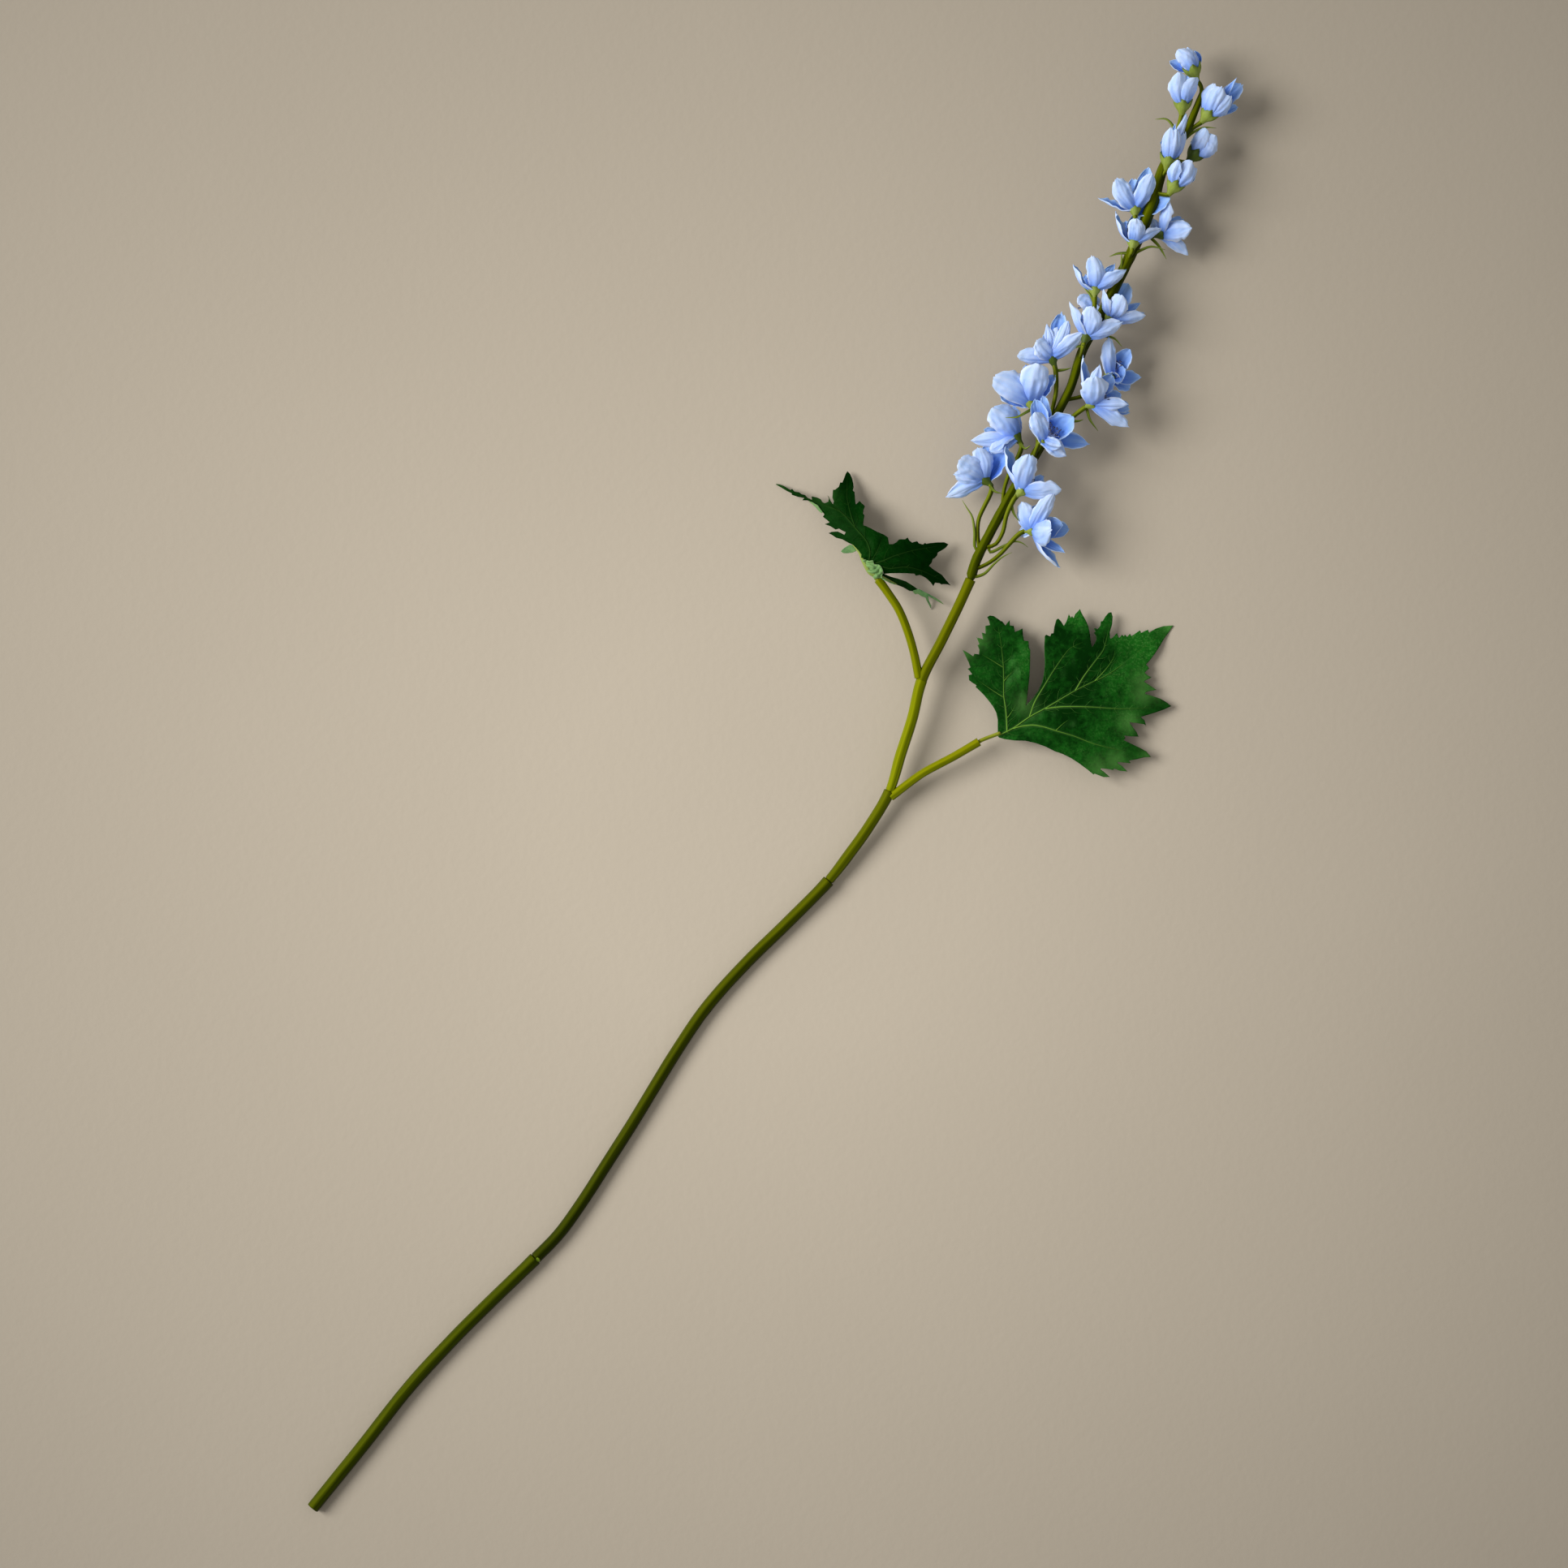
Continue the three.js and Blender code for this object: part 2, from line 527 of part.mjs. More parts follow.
// Leaves: an outline is cut into triangles, which are split until none has a long side, then the
// flat sheet is given its height and its thickness.
function triangulated(outline, longest) {
  const points = outline.map(([x, y]) => new THREE.Vector2(x, y));
  let faces = THREE.ShapeUtils.triangulateShape(points, []);
  const rim = new Set(points.map((_, k) => edgeKey(k, (k + 1) % points.length)));
  for (let round = 0; round < 8; round++) {
    faces = flipped(points, faces, rim);
    const split = splitLong(points, faces, rim, longest);
    if (split.length === faces.length) break;
    faces = split;
  }
  return { points, faces: flipped(points, faces, rim), rim };
}

const edgeKey = (a, b) => (a < b ? a + "_" + b : b + "_" + a);

// Cuts every side longer than "longest" in half; the halves of a rim side stay rim.
function splitLong(points, faces, rim, longest) {
  const middle = new Map();
  const half = (a, b) => {
    const key = edgeKey(a, b);
    if (points[a].distanceTo(points[b]) <= longest) return -1;
    if (!middle.has(key)) {
      middle.set(key, points.length);
      points.push(points[a].clone().lerp(points[b], 0.5));
      if (rim.delete(key)) {
        rim.add(edgeKey(a, middle.get(key)));
        rim.add(edgeKey(b, middle.get(key)));
      }
    }
    return middle.get(key);
  };
  return faces.flatMap(([a, b, c]) => {
    const cuts = [half(a, b), half(b, c), half(c, a)];
    const count = cuts.filter((m) => m >= 0).length;
    if (count === 0) return [[a, b, c]];
    if (count === 3) {
      const [p, q, r] = cuts;
      return [[a, p, r], [p, b, q], [r, q, c], [p, q, r]];
    }
    // Turned so that the first side is cut, and where two are cut, the second one too.
    let corners = [a, b, c];
    let sides = cuts;
    while (sides[0] < 0 || (count === 2 && sides[1] < 0)) {
      corners = [corners[1], corners[2], corners[0]];
      sides = [sides[1], sides[2], sides[0]];
    }
    const [i, j, k] = corners;
    const [p, q] = sides;
    if (count === 1) return [[i, p, k], [p, j, k]];
    return [[p, j, q], [i, p, q], [i, q, k]];
  });
}

// Turns inner sides wherever the other diagonal gives better shaped triangles.
function flipped(points, faces, rim) {
  const out = faces.map((f) => [...f]);
  const angle = (a, b, c) => {
    const u = points[a].clone().sub(points[b]);
    const v = points[c].clone().sub(points[b]);
    return Math.atan2(Math.abs(u.cross(v)), u.dot(v));
  };
  const area = (a, b, c) => points[b].clone().sub(points[a]).cross(points[c].clone().sub(points[a]));
  for (let round = 0; round < 12; round++) {
    const owners = new Map();
    out.forEach((f, index) => {
      f.forEach((a, k) => {
        const key = edgeKey(a, f[(k + 1) % 3]);
        owners.set(key, [...(owners.get(key) || []), index]);
      });
    });
    const touched = new Set();
    let turns = 0;
    for (const [key, pair] of owners) {
      if (rim.has(key) || pair.length !== 2 || pair.some((f) => touched.has(f))) continue;
      const [a, b] = key.split("_").map(Number);
      const c = out[pair[0]].find((p) => p !== a && p !== b);
      const d = out[pair[1]].find((p) => p !== a && p !== b);
      if (angle(a, c, b) + angle(a, d, b) <= Math.PI + 1e-6) continue;
      if (area(c, d, a) * area(c, d, b) >= -1e-6) continue;
      out[pair[0]] = area(c, d, a) > 0 ? [c, d, a] : [d, c, a];
      out[pair[1]] = area(c, d, b) > 0 ? [c, d, b] : [d, c, b];
      pair.forEach((f) => touched.add(f));
      turns++;
    }
    if (!turns) break;
  }
  return out;
}

function leafSheet(outline, base, heightAt, longest) {
  const { points, faces, rim } = triangulated(outline, longest);
  const count = points.length;
  const lifted = points.map((p) => new THREE.Vector3(base[0] + p.x, base[1] + p.y, heightAt(p.x, p.y)));
  const top = lifted.map((p) => p.clone().setZ(p.z + BLADE / 2));
  const under = lifted.map((p) => p.clone().setZ(p.z - BLADE / 2));
  const closed = [];
  for (const [a, b, c] of faces) {
    closed.push([a, b, c], [a + count, c + count, b + count]);
    for (const [p, q] of [[a, b], [b, c], [c, a]]) {
      if (rim.has(edgeKey(p, q))) closed.push([q, p, p + count], [q, p + count, q + count]);
    }
  }
  return solid(body([...top, ...under], closed));
}

// Distance from a point of the plan to a line of points, and the share along it that is nearest.
function nearestOn(line, x, y) {
  let best = { distance: Infinity, height: 0 };
  for (let k = 0; k < line.length - 1; k++) {
    const [ax, ay, az = 0] = line[k];
    const [bx, by, bz = 0] = line[k + 1];
    const span = (bx - ax) ** 2 + (by - ay) ** 2;
    const share = THREE.MathUtils.clamp(((x - ax) * (bx - ax) + (y - ay) * (by - ay)) / span, 0, 1);
    const distance = Math.hypot(x - ax - share * (bx - ax), y - ay - share * (by - ay));
    if (distance < best.distance) best = { distance, height: az + share * (bz - az) };
  }
  return best;
}

const FLOOR = BLADE / 2; // middle of a blade that touches the surface

// The flat leaf droops from its stalk until its far tips touch, with a valley along each vein.
function rightLeafHeight(x, y) {
  const reach = Math.hypot(x, y);
  const droop = 9.6 + 0.07 * reach - 0.0018 * reach * reach;
  const valley = RIGHT_LEAF_VEINS.reduce((sum, vein) => {
    const { distance } = nearestOn(vein, x, y);
    return sum - 1.3 * Math.exp(-((distance / 5) ** 2));
  }, 0);
  const fade = Math.min(1, reach / 12);
  return Math.max(FLOOR, droop + valley * fade);
}

// The arched leaf falls away on both sides of its ridge.
function leftLeafHeight(x, y) {
  const { distance, height } = nearestOn(LEFT_RIDGE, x, y);
  return Math.max(FLOOR, height - 0.46 * (Math.hypot(distance, 4) - 4));
}

// A strip that narrows to its tip and stands on edge, for a lobe that is folded down.
function foldedLobe({ line, width, lean }, base) {
  const path = curve(line.map(([x, y, z]) => [base[0] + x, base[1] + y, z]));
  const rows = 5;
  const rings = [];
  for (let k = 0; k <= rows; k++) {
    const share = k / rows;
    const centre = path.getPointAt(share);
    const direction = path.getTangentAt(share);
    const level = new THREE.Vector3().crossVectors(direction, UP).normalize();
    const side = level.applyAxisAngle(direction, rad(lean));
    const down = new THREE.Vector3().crossVectors(side, direction).normalize();
    const half = Math.max(0.4, (width / 2) * Math.sin(Math.PI * (0.2 + 0.77 * share)) ** 0.8);
    const room = Math.max(0.3, Math.min(half, (centre.z - 0.05) / Math.max(0.3, down.z)));
    const corner = (across, lower) =>
      centre.clone().addScaledVector(side, across).addScaledVector(down, lower);
    const thick = BLADE / 2;
    rings.push([corner(thick, half), corner(-thick, half), corner(-thick, -room), corner(thick, -room)]);
  }
  return solid(loft(rings));
}

// The thin stalk of a leaf, from inside its stalk tube to the middle of the blade's foot.
function leafStalk(tubePoints, leafEnd) {
  const tube = curve(tubePoints);
  const inside = [4, 2, 0].map((depth) => tube.getPointAt(1 - depth / tube.getLength()));
  const beyond = inside[2].clone().addScaledVector(tube.getTangentAt(1), 1.5);
  const line = curve([...inside, beyond].map((p) => p.toArray()).concat([leafEnd]));
  return bar(line, 0, line.getLength(), () => LEAF_STALK_WIDTH / 2, 6, 2.5);
}

// Flowers
function flowerFrame(flower) {
  const heading = rad(flower.faces);
  const lift = rad(flower.lift);
  const axis = new THREE.Vector3(
    Math.cos(lift) * Math.cos(heading),
    Math.cos(lift) * Math.sin(heading),
    Math.sin(lift),
  );
  const top = UP.clone().addScaledVector(axis, -axis.z).normalize();
  const side = new THREE.Vector3().crossVectors(axis, top);
  return { axis, top, side, base: vec(flower.at) };
}

// A turned form about the flower's axis: pairs of distance along it and radius.
function turned(frame, profile, sides) {
  return solid(
    loft(
      profile.map(([distance, radius]) =>
        Array.from({ length: sides }, (_, k) => {
          const angle = (2 * Math.PI * k) / sides;
          const out = typeof radius === "function" ? radius(k) : radius;
          const forward = typeof distance === "function" ? distance(k) : distance;
          return frame.base
            .clone()
            .addScaledVector(frame.axis, forward)
            .addScaledVector(frame.top, out * Math.cos(angle))
            .addScaledVector(frame.side, out * Math.sin(angle));
        }),
      ),
    ),
  );
}

// The calyx cup: a funnel with a hollow for the petals' foot. A bud's cup is wide, and its rim
// runs out in a tooth for each petal.
function calyx(flower, grow) {
  const frame = flowerFrame(flower);
  const tooth = (high, low) => (k) => (k % 2 ? low : high);
  if (flower.bud) {
    const profile = [
      [-0.3 - grow, 1.1 + grow],
      [3.4, 2.6 + grow],
      [tooth(6.8 + grow, 4.8 + grow), tooth(4.3 + grow, 3.6 + grow)],
      [tooth(6.6 + grow, 4.8 + grow), tooth(3.7 - grow, 3.0 - grow)],
      [2.9 + grow, 1.1 - grow],
    ];
    return turned(frame, profile, 2 * PETALS);
  }
  const profile = [
    [-0.3 - grow, 1.1 + grow],
    [1.8, 1.3 + grow],
    [4.7 + grow, 2.9 + grow],
    [4.6 + grow, 2.3 - grow],
    [2.8 + grow, 0.9 - grow],
  ];
  return turned(frame, profile, 7);
}

// Half width of a petal at a share of its length, as a share of its full half width.
function petalWidth(share, point) {
  if (share < 0.6) return 0.34 + 0.66 * Math.sin((Math.PI * share) / 1.2);
  const past = Math.min(1, (share - 0.6) / 0.4);
  const round = Math.max(0, 1 - past * past) ** (0.5 + 0.65 * point);
  return Math.max(round, 0.06 + 0.3 * (1 - point));
}

const PETAL_ROWS = [-0.1, 0.42, 0.82, 1];
const PETAL_COLUMNS = [-1, 0, 1];
const CUP_DEPTH = 0.55; // how far a petal's edges stand above its middle line
const CLAW = 0.9; // share of its fifth of the flower that a petal's foot fills

// The petals open evenly round the axis, each a little otherwise than the next.
function petal(flower, place, slot, inner, grow) {
  const frame = flowerFrame(flower);
  const bend = (!inner && flower.bends && flower.bends[slot]) || {};
  const step = 360 / PETALS;
  const around = rad(flower.roll + step * (slot + (inner ? 0.5 : 0)) + (bend.turn || 0));
  const draw = Math.sin(12.9 * (place + 1) + 78.2 * (slot + 1) + (inner ? 5 : 0));
  const spread = rad((bend.spread ?? flower.spread * (inner ? 0.75 : 1)) + 2 * draw);
  const curl = rad(flower.curl);
  const length = (bend.length ?? flower.petal[0] * (inner ? 0.8 : 1)) + grow;
  const width = (bend.width ?? flower.petal[1] * (inner ? 0.85 : 1)) + 2 * grow;
  const point = bend.point ?? 0.35;
  const twist = flower.bud ? 0 : rad(flower.twist ?? 26);
  const outward = frame.top
    .clone()
    .multiplyScalar(Math.cos(around))
    .addScaledVector(frame.side, Math.sin(around));
  const across = new THREE.Vector3().crossVectors(frame.axis, outward);
  const footRadius = flower.bud ? 2.4 : 1.4;
  const root = frame.base
    .clone()
    .addScaledVector(frame.axis, CUP_LENGTH + (inner ? 0.8 : 0))
    .addScaledVector(outward, footRadius);
  const half = BLADE / 2 + grow;
  const rings = PETAL_ROWS.map((share) => {
    const angle = spread + curl * (0.5 - share);
    const start = spread + curl / 2;
    const forward = (Math.sin(start) - Math.sin(angle)) / curl;
    const out = (Math.cos(angle) - Math.cos(start)) / curl;
    const centre = root
      .clone()
      .addScaledVector(frame.axis, length * forward)
      .addScaledVector(outward, length * out);
    const inward = frame.axis
      .clone()
      .multiplyScalar(Math.sin(angle))
      .addScaledVector(outward, -Math.cos(angle));
    const turn = -twist * Math.sin(around) * THREE.MathUtils.clamp(share * 2.5, 0, 1);
    const sideways = across.clone().multiplyScalar(Math.cos(turn)).addScaledVector(inward, Math.sin(turn));
    const normal = inward.clone().multiplyScalar(Math.cos(turn)).addScaledVector(across, -Math.sin(turn));
    // Near the foot the petal narrows to a claw, so that it doesn't cross the ones beside it.
    const claw = Math.max(0.6, CLAW * (footRadius + length * out) * Math.tan(Math.PI / PETALS));
    const reach = Math.min(claw + grow, (width / 2) * petalWidth(Math.max(0, share), point));
    const place3 = (column) =>
      centre
        .clone()
        .addScaledVector(sideways, column * reach * (1 - 0.12 * CUP_DEPTH * column * column))
        .addScaledVector(normal, CUP_DEPTH * column * column * reach);
    const tilt = (column) =>
      normal.clone().addScaledVector(sideways, -2 * CUP_DEPTH * column * 0.6).normalize();
    const face = (columns, way) =>
      columns.map((column) => place3(column).addScaledVector(tilt(column), way * half));
    return [...face(PETAL_COLUMNS, 1), ...face([...PETAL_COLUMNS].reverse(), -1)];
  });
  return solid(loft(rings, PETAL_COLUMNS.length));
}

// A bloom's petals in one or two layers, on the foot that sits in the cup.
function bloom(flower, place, grow) {
  const frame = flowerFrame(flower);
  const foot = flower.bud
    ? [[3.5 - grow, 0.7 + grow], [5.4, 2.6 + grow], [6.8 + grow, 1.4 + grow]]
    : [[3.4 - grow, 0.5 + grow], [5.4, 2 + grow], [FOOT_END + grow, 1.1 + grow]];
  const pieces = [turned(frame, foot, 6)];
  for (let slot = 0; slot < PETALS; slot++) {
    pieces.push(petal(flower, place, slot, false, grow));
    if (flower.double) pieces.push(petal(flower, place, slot, true, grow));
  }
  return join(pieces);
}

// The tuft in an open bloom: a small cone with thin stamens leaning out, each with its anther.
function stamens(flower) {
  const frame = flowerFrame(flower);
  const start = FOOT_END + 1.2 * GAP;
  const pieces = [turned(frame, [[start, 1.1], [start + 2.8, 0.5]], 5)];
  for (let k = 0; k < STAMEN_COUNT; k++) {
    const angle = (2 * Math.PI * k) / STAMEN_COUNT;
    const outward = frame.top
      .clone()
      .multiplyScalar(Math.cos(angle))
      .addScaledVector(frame.side, Math.sin(angle));
    const root = frame.base
      .clone()
      .addScaledVector(frame.axis, start + 0.8)
      .addScaledVector(outward, 0.5);
    const lean = frame.axis.clone().addScaledVector(outward, 0.36).normalize();
    const tip = root.clone().addScaledVector(lean, STAMEN_LENGTH);
    const across = new THREE.Vector3().crossVectors(lean, outward).normalize();
    const other = new THREE.Vector3().crossVectors(lean, across);
    const triangle = (centre, radius) =>
      [0, 1, 2].map((corner) =>
        centre
          .clone()
          .addScaledVector(across, radius * Math.cos((2 * Math.PI * corner) / 3))
          .addScaledVector(other, radius * Math.sin((2 * Math.PI * corner) / 3)),
      );
    const under = tip.clone().addScaledVector(lean, -1.4);
    pieces.push(solid(loft([triangle(root, 0.35), triangle(under, 0.32), triangle(tip, 0.62)])));
  }
  return join(pieces);
}

// The point of a curve that lies nearest to another point.
function nearestPoint(line, point) {
  const places = line.getSpacedPoints(200);
  return places.reduce((a, b) => (a.distanceTo(point) < b.distanceTo(point) ? a : b));
}

// The green moulding of the spike: axis, stalks, bracts and cups.
function spikeAxis(grow) {
  const line = curve(AXIS_LINE);
  const length = line.getLength();
  const halfAt = (share) => {
    const place = share * (AXIS_WIDTHS.length - 1);
    const k = Math.min(AXIS_WIDTHS.length - 2, Math.floor(place));
    return THREE.MathUtils.lerp(AXIS_WIDTHS[k], AXIS_WIDTHS[k + 1], place - k) / 2 + grow;
  };
  const sleeveEnd = along(JOINT_AT.sleeveEnd);
  const pegHalf = (AXIS_WIDTHS[0] - AXIS_PEG_STEP) / 2 + grow;
  const pieces = [
    bar(line, GAP, length, halfAt, 6, 17),
    bar(stemCurve, sleeveEnd - PEG_DEPTH, sleeveEnd, () => pegHalf, 6, 3),
    bar(line, 0, 3, () => pegHalf, 6, 3),
  ];
  FLOWERS.forEach((flower, place) => {
    const { base, axis } = flowerFrame(flower);
    const inCup = base.clone().addScaledVector(axis, 1.2).toArray();
    const route = STALKS[place];
    const root = nearestPoint(line, vec(route[0]));
    const stalk = curve([root.toArray(), ...route.slice(1), flower.at, inCup]);
    pieces.push(bar(stalk, 0, stalk.getLength(), () => STALK_WIDTH / 2 + grow, 5, 9));
    pieces.push(calyx(flower, grow));
  });
  for (const points of BRACTS) {
    const bract = curve(points);
    const taper = (share) => (BRACT_WIDTH / 2) * (1 - 0.55 * share) + grow;
    pieces.push(bar(bract, 0, bract.getLength(), taper, 3, 7));
  }
  return join(pieces);
}

// A flower whose lowest petal would sink into the surface is raised until it just touches.
const TOUCH = 0.03;
FLOWERS.forEach((flower, place) => {
  const lowest = bloom(flower, place, 0).boundingBox().min[2];
  if (lowest < TOUCH) flower.at[2] += TOUCH - lowest;
});

const pieces = stemPieces();
const petioleClearance = bar(
  stemCurve, along(JOINT_AT.collar), along(JOINT_AT.sleeveEnd), () => UPPER_WIDTH / 2 + GAP,
  STEM_SIDES, STEM_STEP / 2,
);
pieces.petiole_left = petiole(LEFT_PETIOLE, petioleClearance);
pieces.petiole_right = petiole(RIGHT_PETIOLE, petioleClearance);

const leftStalkEnd = [LEFT_LEAF_BASE[0] - 0.6, LEFT_LEAF_BASE[1] + 1.6, 15.6];
const rightStalkEnd = [RIGHT_LEAF_BASE[0] + 1.4, RIGHT_LEAF_BASE[1] + 0.8, 9.6];
const leaves = {
  leaf_left: join([
    leafSheet(LEFT_LEAF, LEFT_LEAF_BASE, leftLeafHeight, LEAF_MESH),
    leafStalk(LEFT_PETIOLE, leftStalkEnd),
    ...LEFT_FOLDS.map((fold) => foldedLobe(fold, LEFT_LEAF_BASE)),
  ]),
  leaf_right: join([
    leafSheet(RIGHT_LEAF, RIGHT_LEAF_BASE, rightLeafHeight, LEAF_MESH),
    leafStalk(RIGHT_PETIOLE, rightStalkEnd),
  ]),
};
const axis = spikeAxis(0);
const axisRoom = spikeAxis(GAP);

// Where two blooms meet, the later one is cut back to leave a gap to the earlier one.
const rooms = [];
const blooms = FLOWERS.map((flower, place) => {
  const kept = rooms.reduce((whole, room) => whole.subtract(room), bloom(flower, place, 0).subtract(axisRoom));
  rooms.push(bloom(flower, place, GAP));
  return largest(kept);
});

const larkspur = new THREE.Group();
for (const [name, piece] of Object.entries(pieces)) {
  const low = name === "stem_lower" || name === "stem_middle";
  larkspur.add(meshOf(name, piece, low ? MATERIALS.lowerPlastic : MATERIALS.upperPlastic));
}
for (const [name, piece] of Object.entries(leaves)) {
  larkspur.add(meshOf(name, piece, MATERIALS.leafFabric));
}
larkspur.add(meshOf("spike_axis", axis, MATERIALS.axisPlastic));
FLOWERS.forEach((flower, place) => {
  const number = String(place + 1).padStart(2, "0");
  larkspur.add(meshOf("bloom_" + number, blooms[place], MATERIALS.petalFabric));
  if (!flower.bud) {
    const tuft = rooms.reduce((whole, room) => whole.subtract(room), stamens(flower).subtract(axisRoom));
    larkspur.add(meshOf("stamens_" + number, tuft, MATERIALS.stamenPlastic));
  }
});

// The origin is the middle of the part's outline on the surface that it lies on.
const box = new THREE.Box3().setFromObject(larkspur);
const centre = box.getCenter(new THREE.Vector3());
larkspur.position.set(-centre.x, -centre.y, -box.min.z);

export default larkspur;
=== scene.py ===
# A stem of artificial larkspur that lies on a pale painted surface, seen from straight above.
# The part's own solids are loaded first, and each is dressed with a finer piece of the same shape.
import json
import math
import random

import bpy
import numpy as np
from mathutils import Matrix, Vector, noise

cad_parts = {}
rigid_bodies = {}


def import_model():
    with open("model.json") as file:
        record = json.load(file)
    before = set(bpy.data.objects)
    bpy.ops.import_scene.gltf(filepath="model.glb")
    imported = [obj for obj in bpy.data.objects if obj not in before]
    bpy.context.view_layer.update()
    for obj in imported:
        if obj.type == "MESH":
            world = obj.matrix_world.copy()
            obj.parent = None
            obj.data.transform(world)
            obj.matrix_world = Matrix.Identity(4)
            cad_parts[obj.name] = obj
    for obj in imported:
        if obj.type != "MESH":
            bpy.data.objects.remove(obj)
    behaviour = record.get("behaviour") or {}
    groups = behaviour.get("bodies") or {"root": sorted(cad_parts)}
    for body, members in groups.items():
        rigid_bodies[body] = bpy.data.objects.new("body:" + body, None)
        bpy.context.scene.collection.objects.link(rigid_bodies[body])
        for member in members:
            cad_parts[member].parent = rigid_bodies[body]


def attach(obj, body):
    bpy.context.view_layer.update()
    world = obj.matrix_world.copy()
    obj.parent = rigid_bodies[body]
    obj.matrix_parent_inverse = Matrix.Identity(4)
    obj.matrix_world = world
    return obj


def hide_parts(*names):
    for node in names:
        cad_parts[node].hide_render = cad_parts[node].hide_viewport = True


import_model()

bpy.ops.object.select_all(action="DESELECT")
scene = bpy.context.scene
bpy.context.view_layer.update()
MM = 0.001
PLAN_X, PLAN_Y = 0.158, 0.299  # from the part's origin to that of the stem's own plan, in mm


def spot(x, y, z):
    """A place given in millimetres of the stem's own plan, in metres from the part's origin."""
    return Vector(((x + PLAN_X) * MM, (y + PLAN_Y) * MM, z * MM))


def on_plan(place):
    """The other way round: a place in metres, given in millimetres of the plan."""
    return place / MM - Vector((PLAN_X, PLAN_Y, 0))


# The camera hangs straight above, far enough off to see the stem without foreshortening. Its
# picture is a square round the whole stem.
CAMERA_HEIGHT = 3.0
VIEW_WIDTH = 0.734
VIEW_MIDDLE = (0.0038, -0.0018)
bpy.ops.object.camera_add(location=(*VIEW_MIDDLE, CAMERA_HEIGHT), rotation=(0, 0, 0))
camera = bpy.context.object
camera.data.lens = camera.data.sensor_width * CAMERA_HEIGHT / VIEW_WIDTH
camera.data.clip_end = 20
scene.camera = camera


# The surface: matt emulsion on board, warm greige with a slight roller texture. It isn't part of
# the object, so it is staged.
def colour(red, green, blue):
    """A colour as it is seen, 0 to 255, turned into the light that it reflects."""
    return [((c / 255 + 0.055) / 1.055) ** 2.4 if c > 10 else c / 3294 for c in (red, green, blue)] + [1]


def new_material(name, roughness, **constant):
    """A material with its principled shader, whose even values are set on its own sockets."""
    material = bpy.data.materials.new(name)
    material.use_nodes = True
    shader = material.node_tree.nodes["Principled BSDF"]
    shader.inputs["Roughness"].default_value = roughness
    for socket, value in constant.items():
        shader.inputs[socket.replace("_", " ")].default_value = value
    return material, material.node_tree, shader


def add_node(tree, kind, **values):
    """A node of a kind, with its settings. A value whose name starts with "in_" is for the input of
    that name or number: it is set there, or linked to it where it is another node's output."""
    node = tree.nodes.new(kind)
    for key, value in values.items():
        if not key.startswith("in_"):
            setattr(node, key, value)
            continue
        name = key[3:]
        socket = node.inputs[int(name)] if name.isdigit() else node.inputs[name.replace("_", " ")]
        if isinstance(value, bpy.types.NodeSocket):
            tree.links.new(value, socket)
        else:
            socket.default_value = value
    return node


def worked_out(tree, operation, *values):
    """The result of a sum with one, two or three values."""
    numbered = {f"in_{k}": value for k, value in enumerate(values)}
    return add_node(tree, "ShaderNodeMath", operation=operation, **numbered).outputs["Value"]


def moved(tree, operation, *vectors):
    """The result of a sum with one, two or three vectors."""
    numbered = {f"in_{k}": vector for k, vector in enumerate(vectors)}
    return add_node(tree, "ShaderNodeVectorMath", operation=operation, **numbered).outputs["Vector"]


def ranged(tree, value, low, high, to_low=0.0, to_high=1.0, **how):
    """A value between two limits, carried over to between two others."""
    return add_node(tree, "ShaderNodeMapRange", in_0=value, in_1=low, in_2=high, in_3=to_low,
                    in_4=to_high, **how).outputs["Result"]


def mixed(tree, lower, upper, share=1.0, **how):
    """Two colours mixed, or blended in another way, by a share."""
    return add_node(tree, "ShaderNodeMix", data_type="RGBA", in_0=share, in_A=lower, in_B=upper,
                    **how).outputs["Result"]


def grained(tree, place, scale, detail=2.0, roughness=0.5):
    """Noise over a place: its outputs."""
    return add_node(tree, "ShaderNodeTexNoise", in_Vector=place, in_Scale=scale, in_Detail=detail,
                    in_Roughness=roughness).outputs


def relief(tree, height, strength, distance):
    """The slight relief that a height gives: its node."""
    return add_node(tree, "ShaderNodeBump", in_Strength=strength, in_Distance=distance, in_Height=height)


def coat(tree, shader, tint, bump):
    """Gives a shader its colour and its relief."""
    tree.links.new(tint, shader.inputs["Base Color"])
    tree.links.new(bump.outputs["Normal"], shader.inputs["Normal"])


bpy.ops.mesh.primitive_plane_add(size=6, location=(0, 0, -0.00005))
surface = bpy.context.object
surface.name = "painted_surface"
paint, tree, shader = new_material("greige_paint", 0.85)
place = add_node(tree, "ShaderNodeTexCoord").outputs["Object"]
tint = mixed(tree, colour(183, 173, 156), colour(188, 178, 161), grained(tree, place, 5.0, 3.0)["Fac"])
# Painted shade: the board's colour is a little darker towards its edges, where the light falls off.
from_middle = moved(tree, "SUBTRACT", place, (0.0, -0.02, 0))
reach = add_node(tree, "ShaderNodeVectorMath", operation="LENGTH", in_0=from_middle).outputs["Value"]
painted_edge_shade = add_node(tree, "ShaderNodeVectorMath", operation="SCALE", in_0=tint,
                  in_Scale=ranged(tree, reach, 0.1, 0.6, 1.0, 0.55))
roller = relief(tree, grained(tree, place, 260.0, 4.0)["Fac"], 0.2, 0.0006)
coat(tree, shader, painted_edge_shade.outputs["Vector"], roller)
surface.data.materials.append(paint)

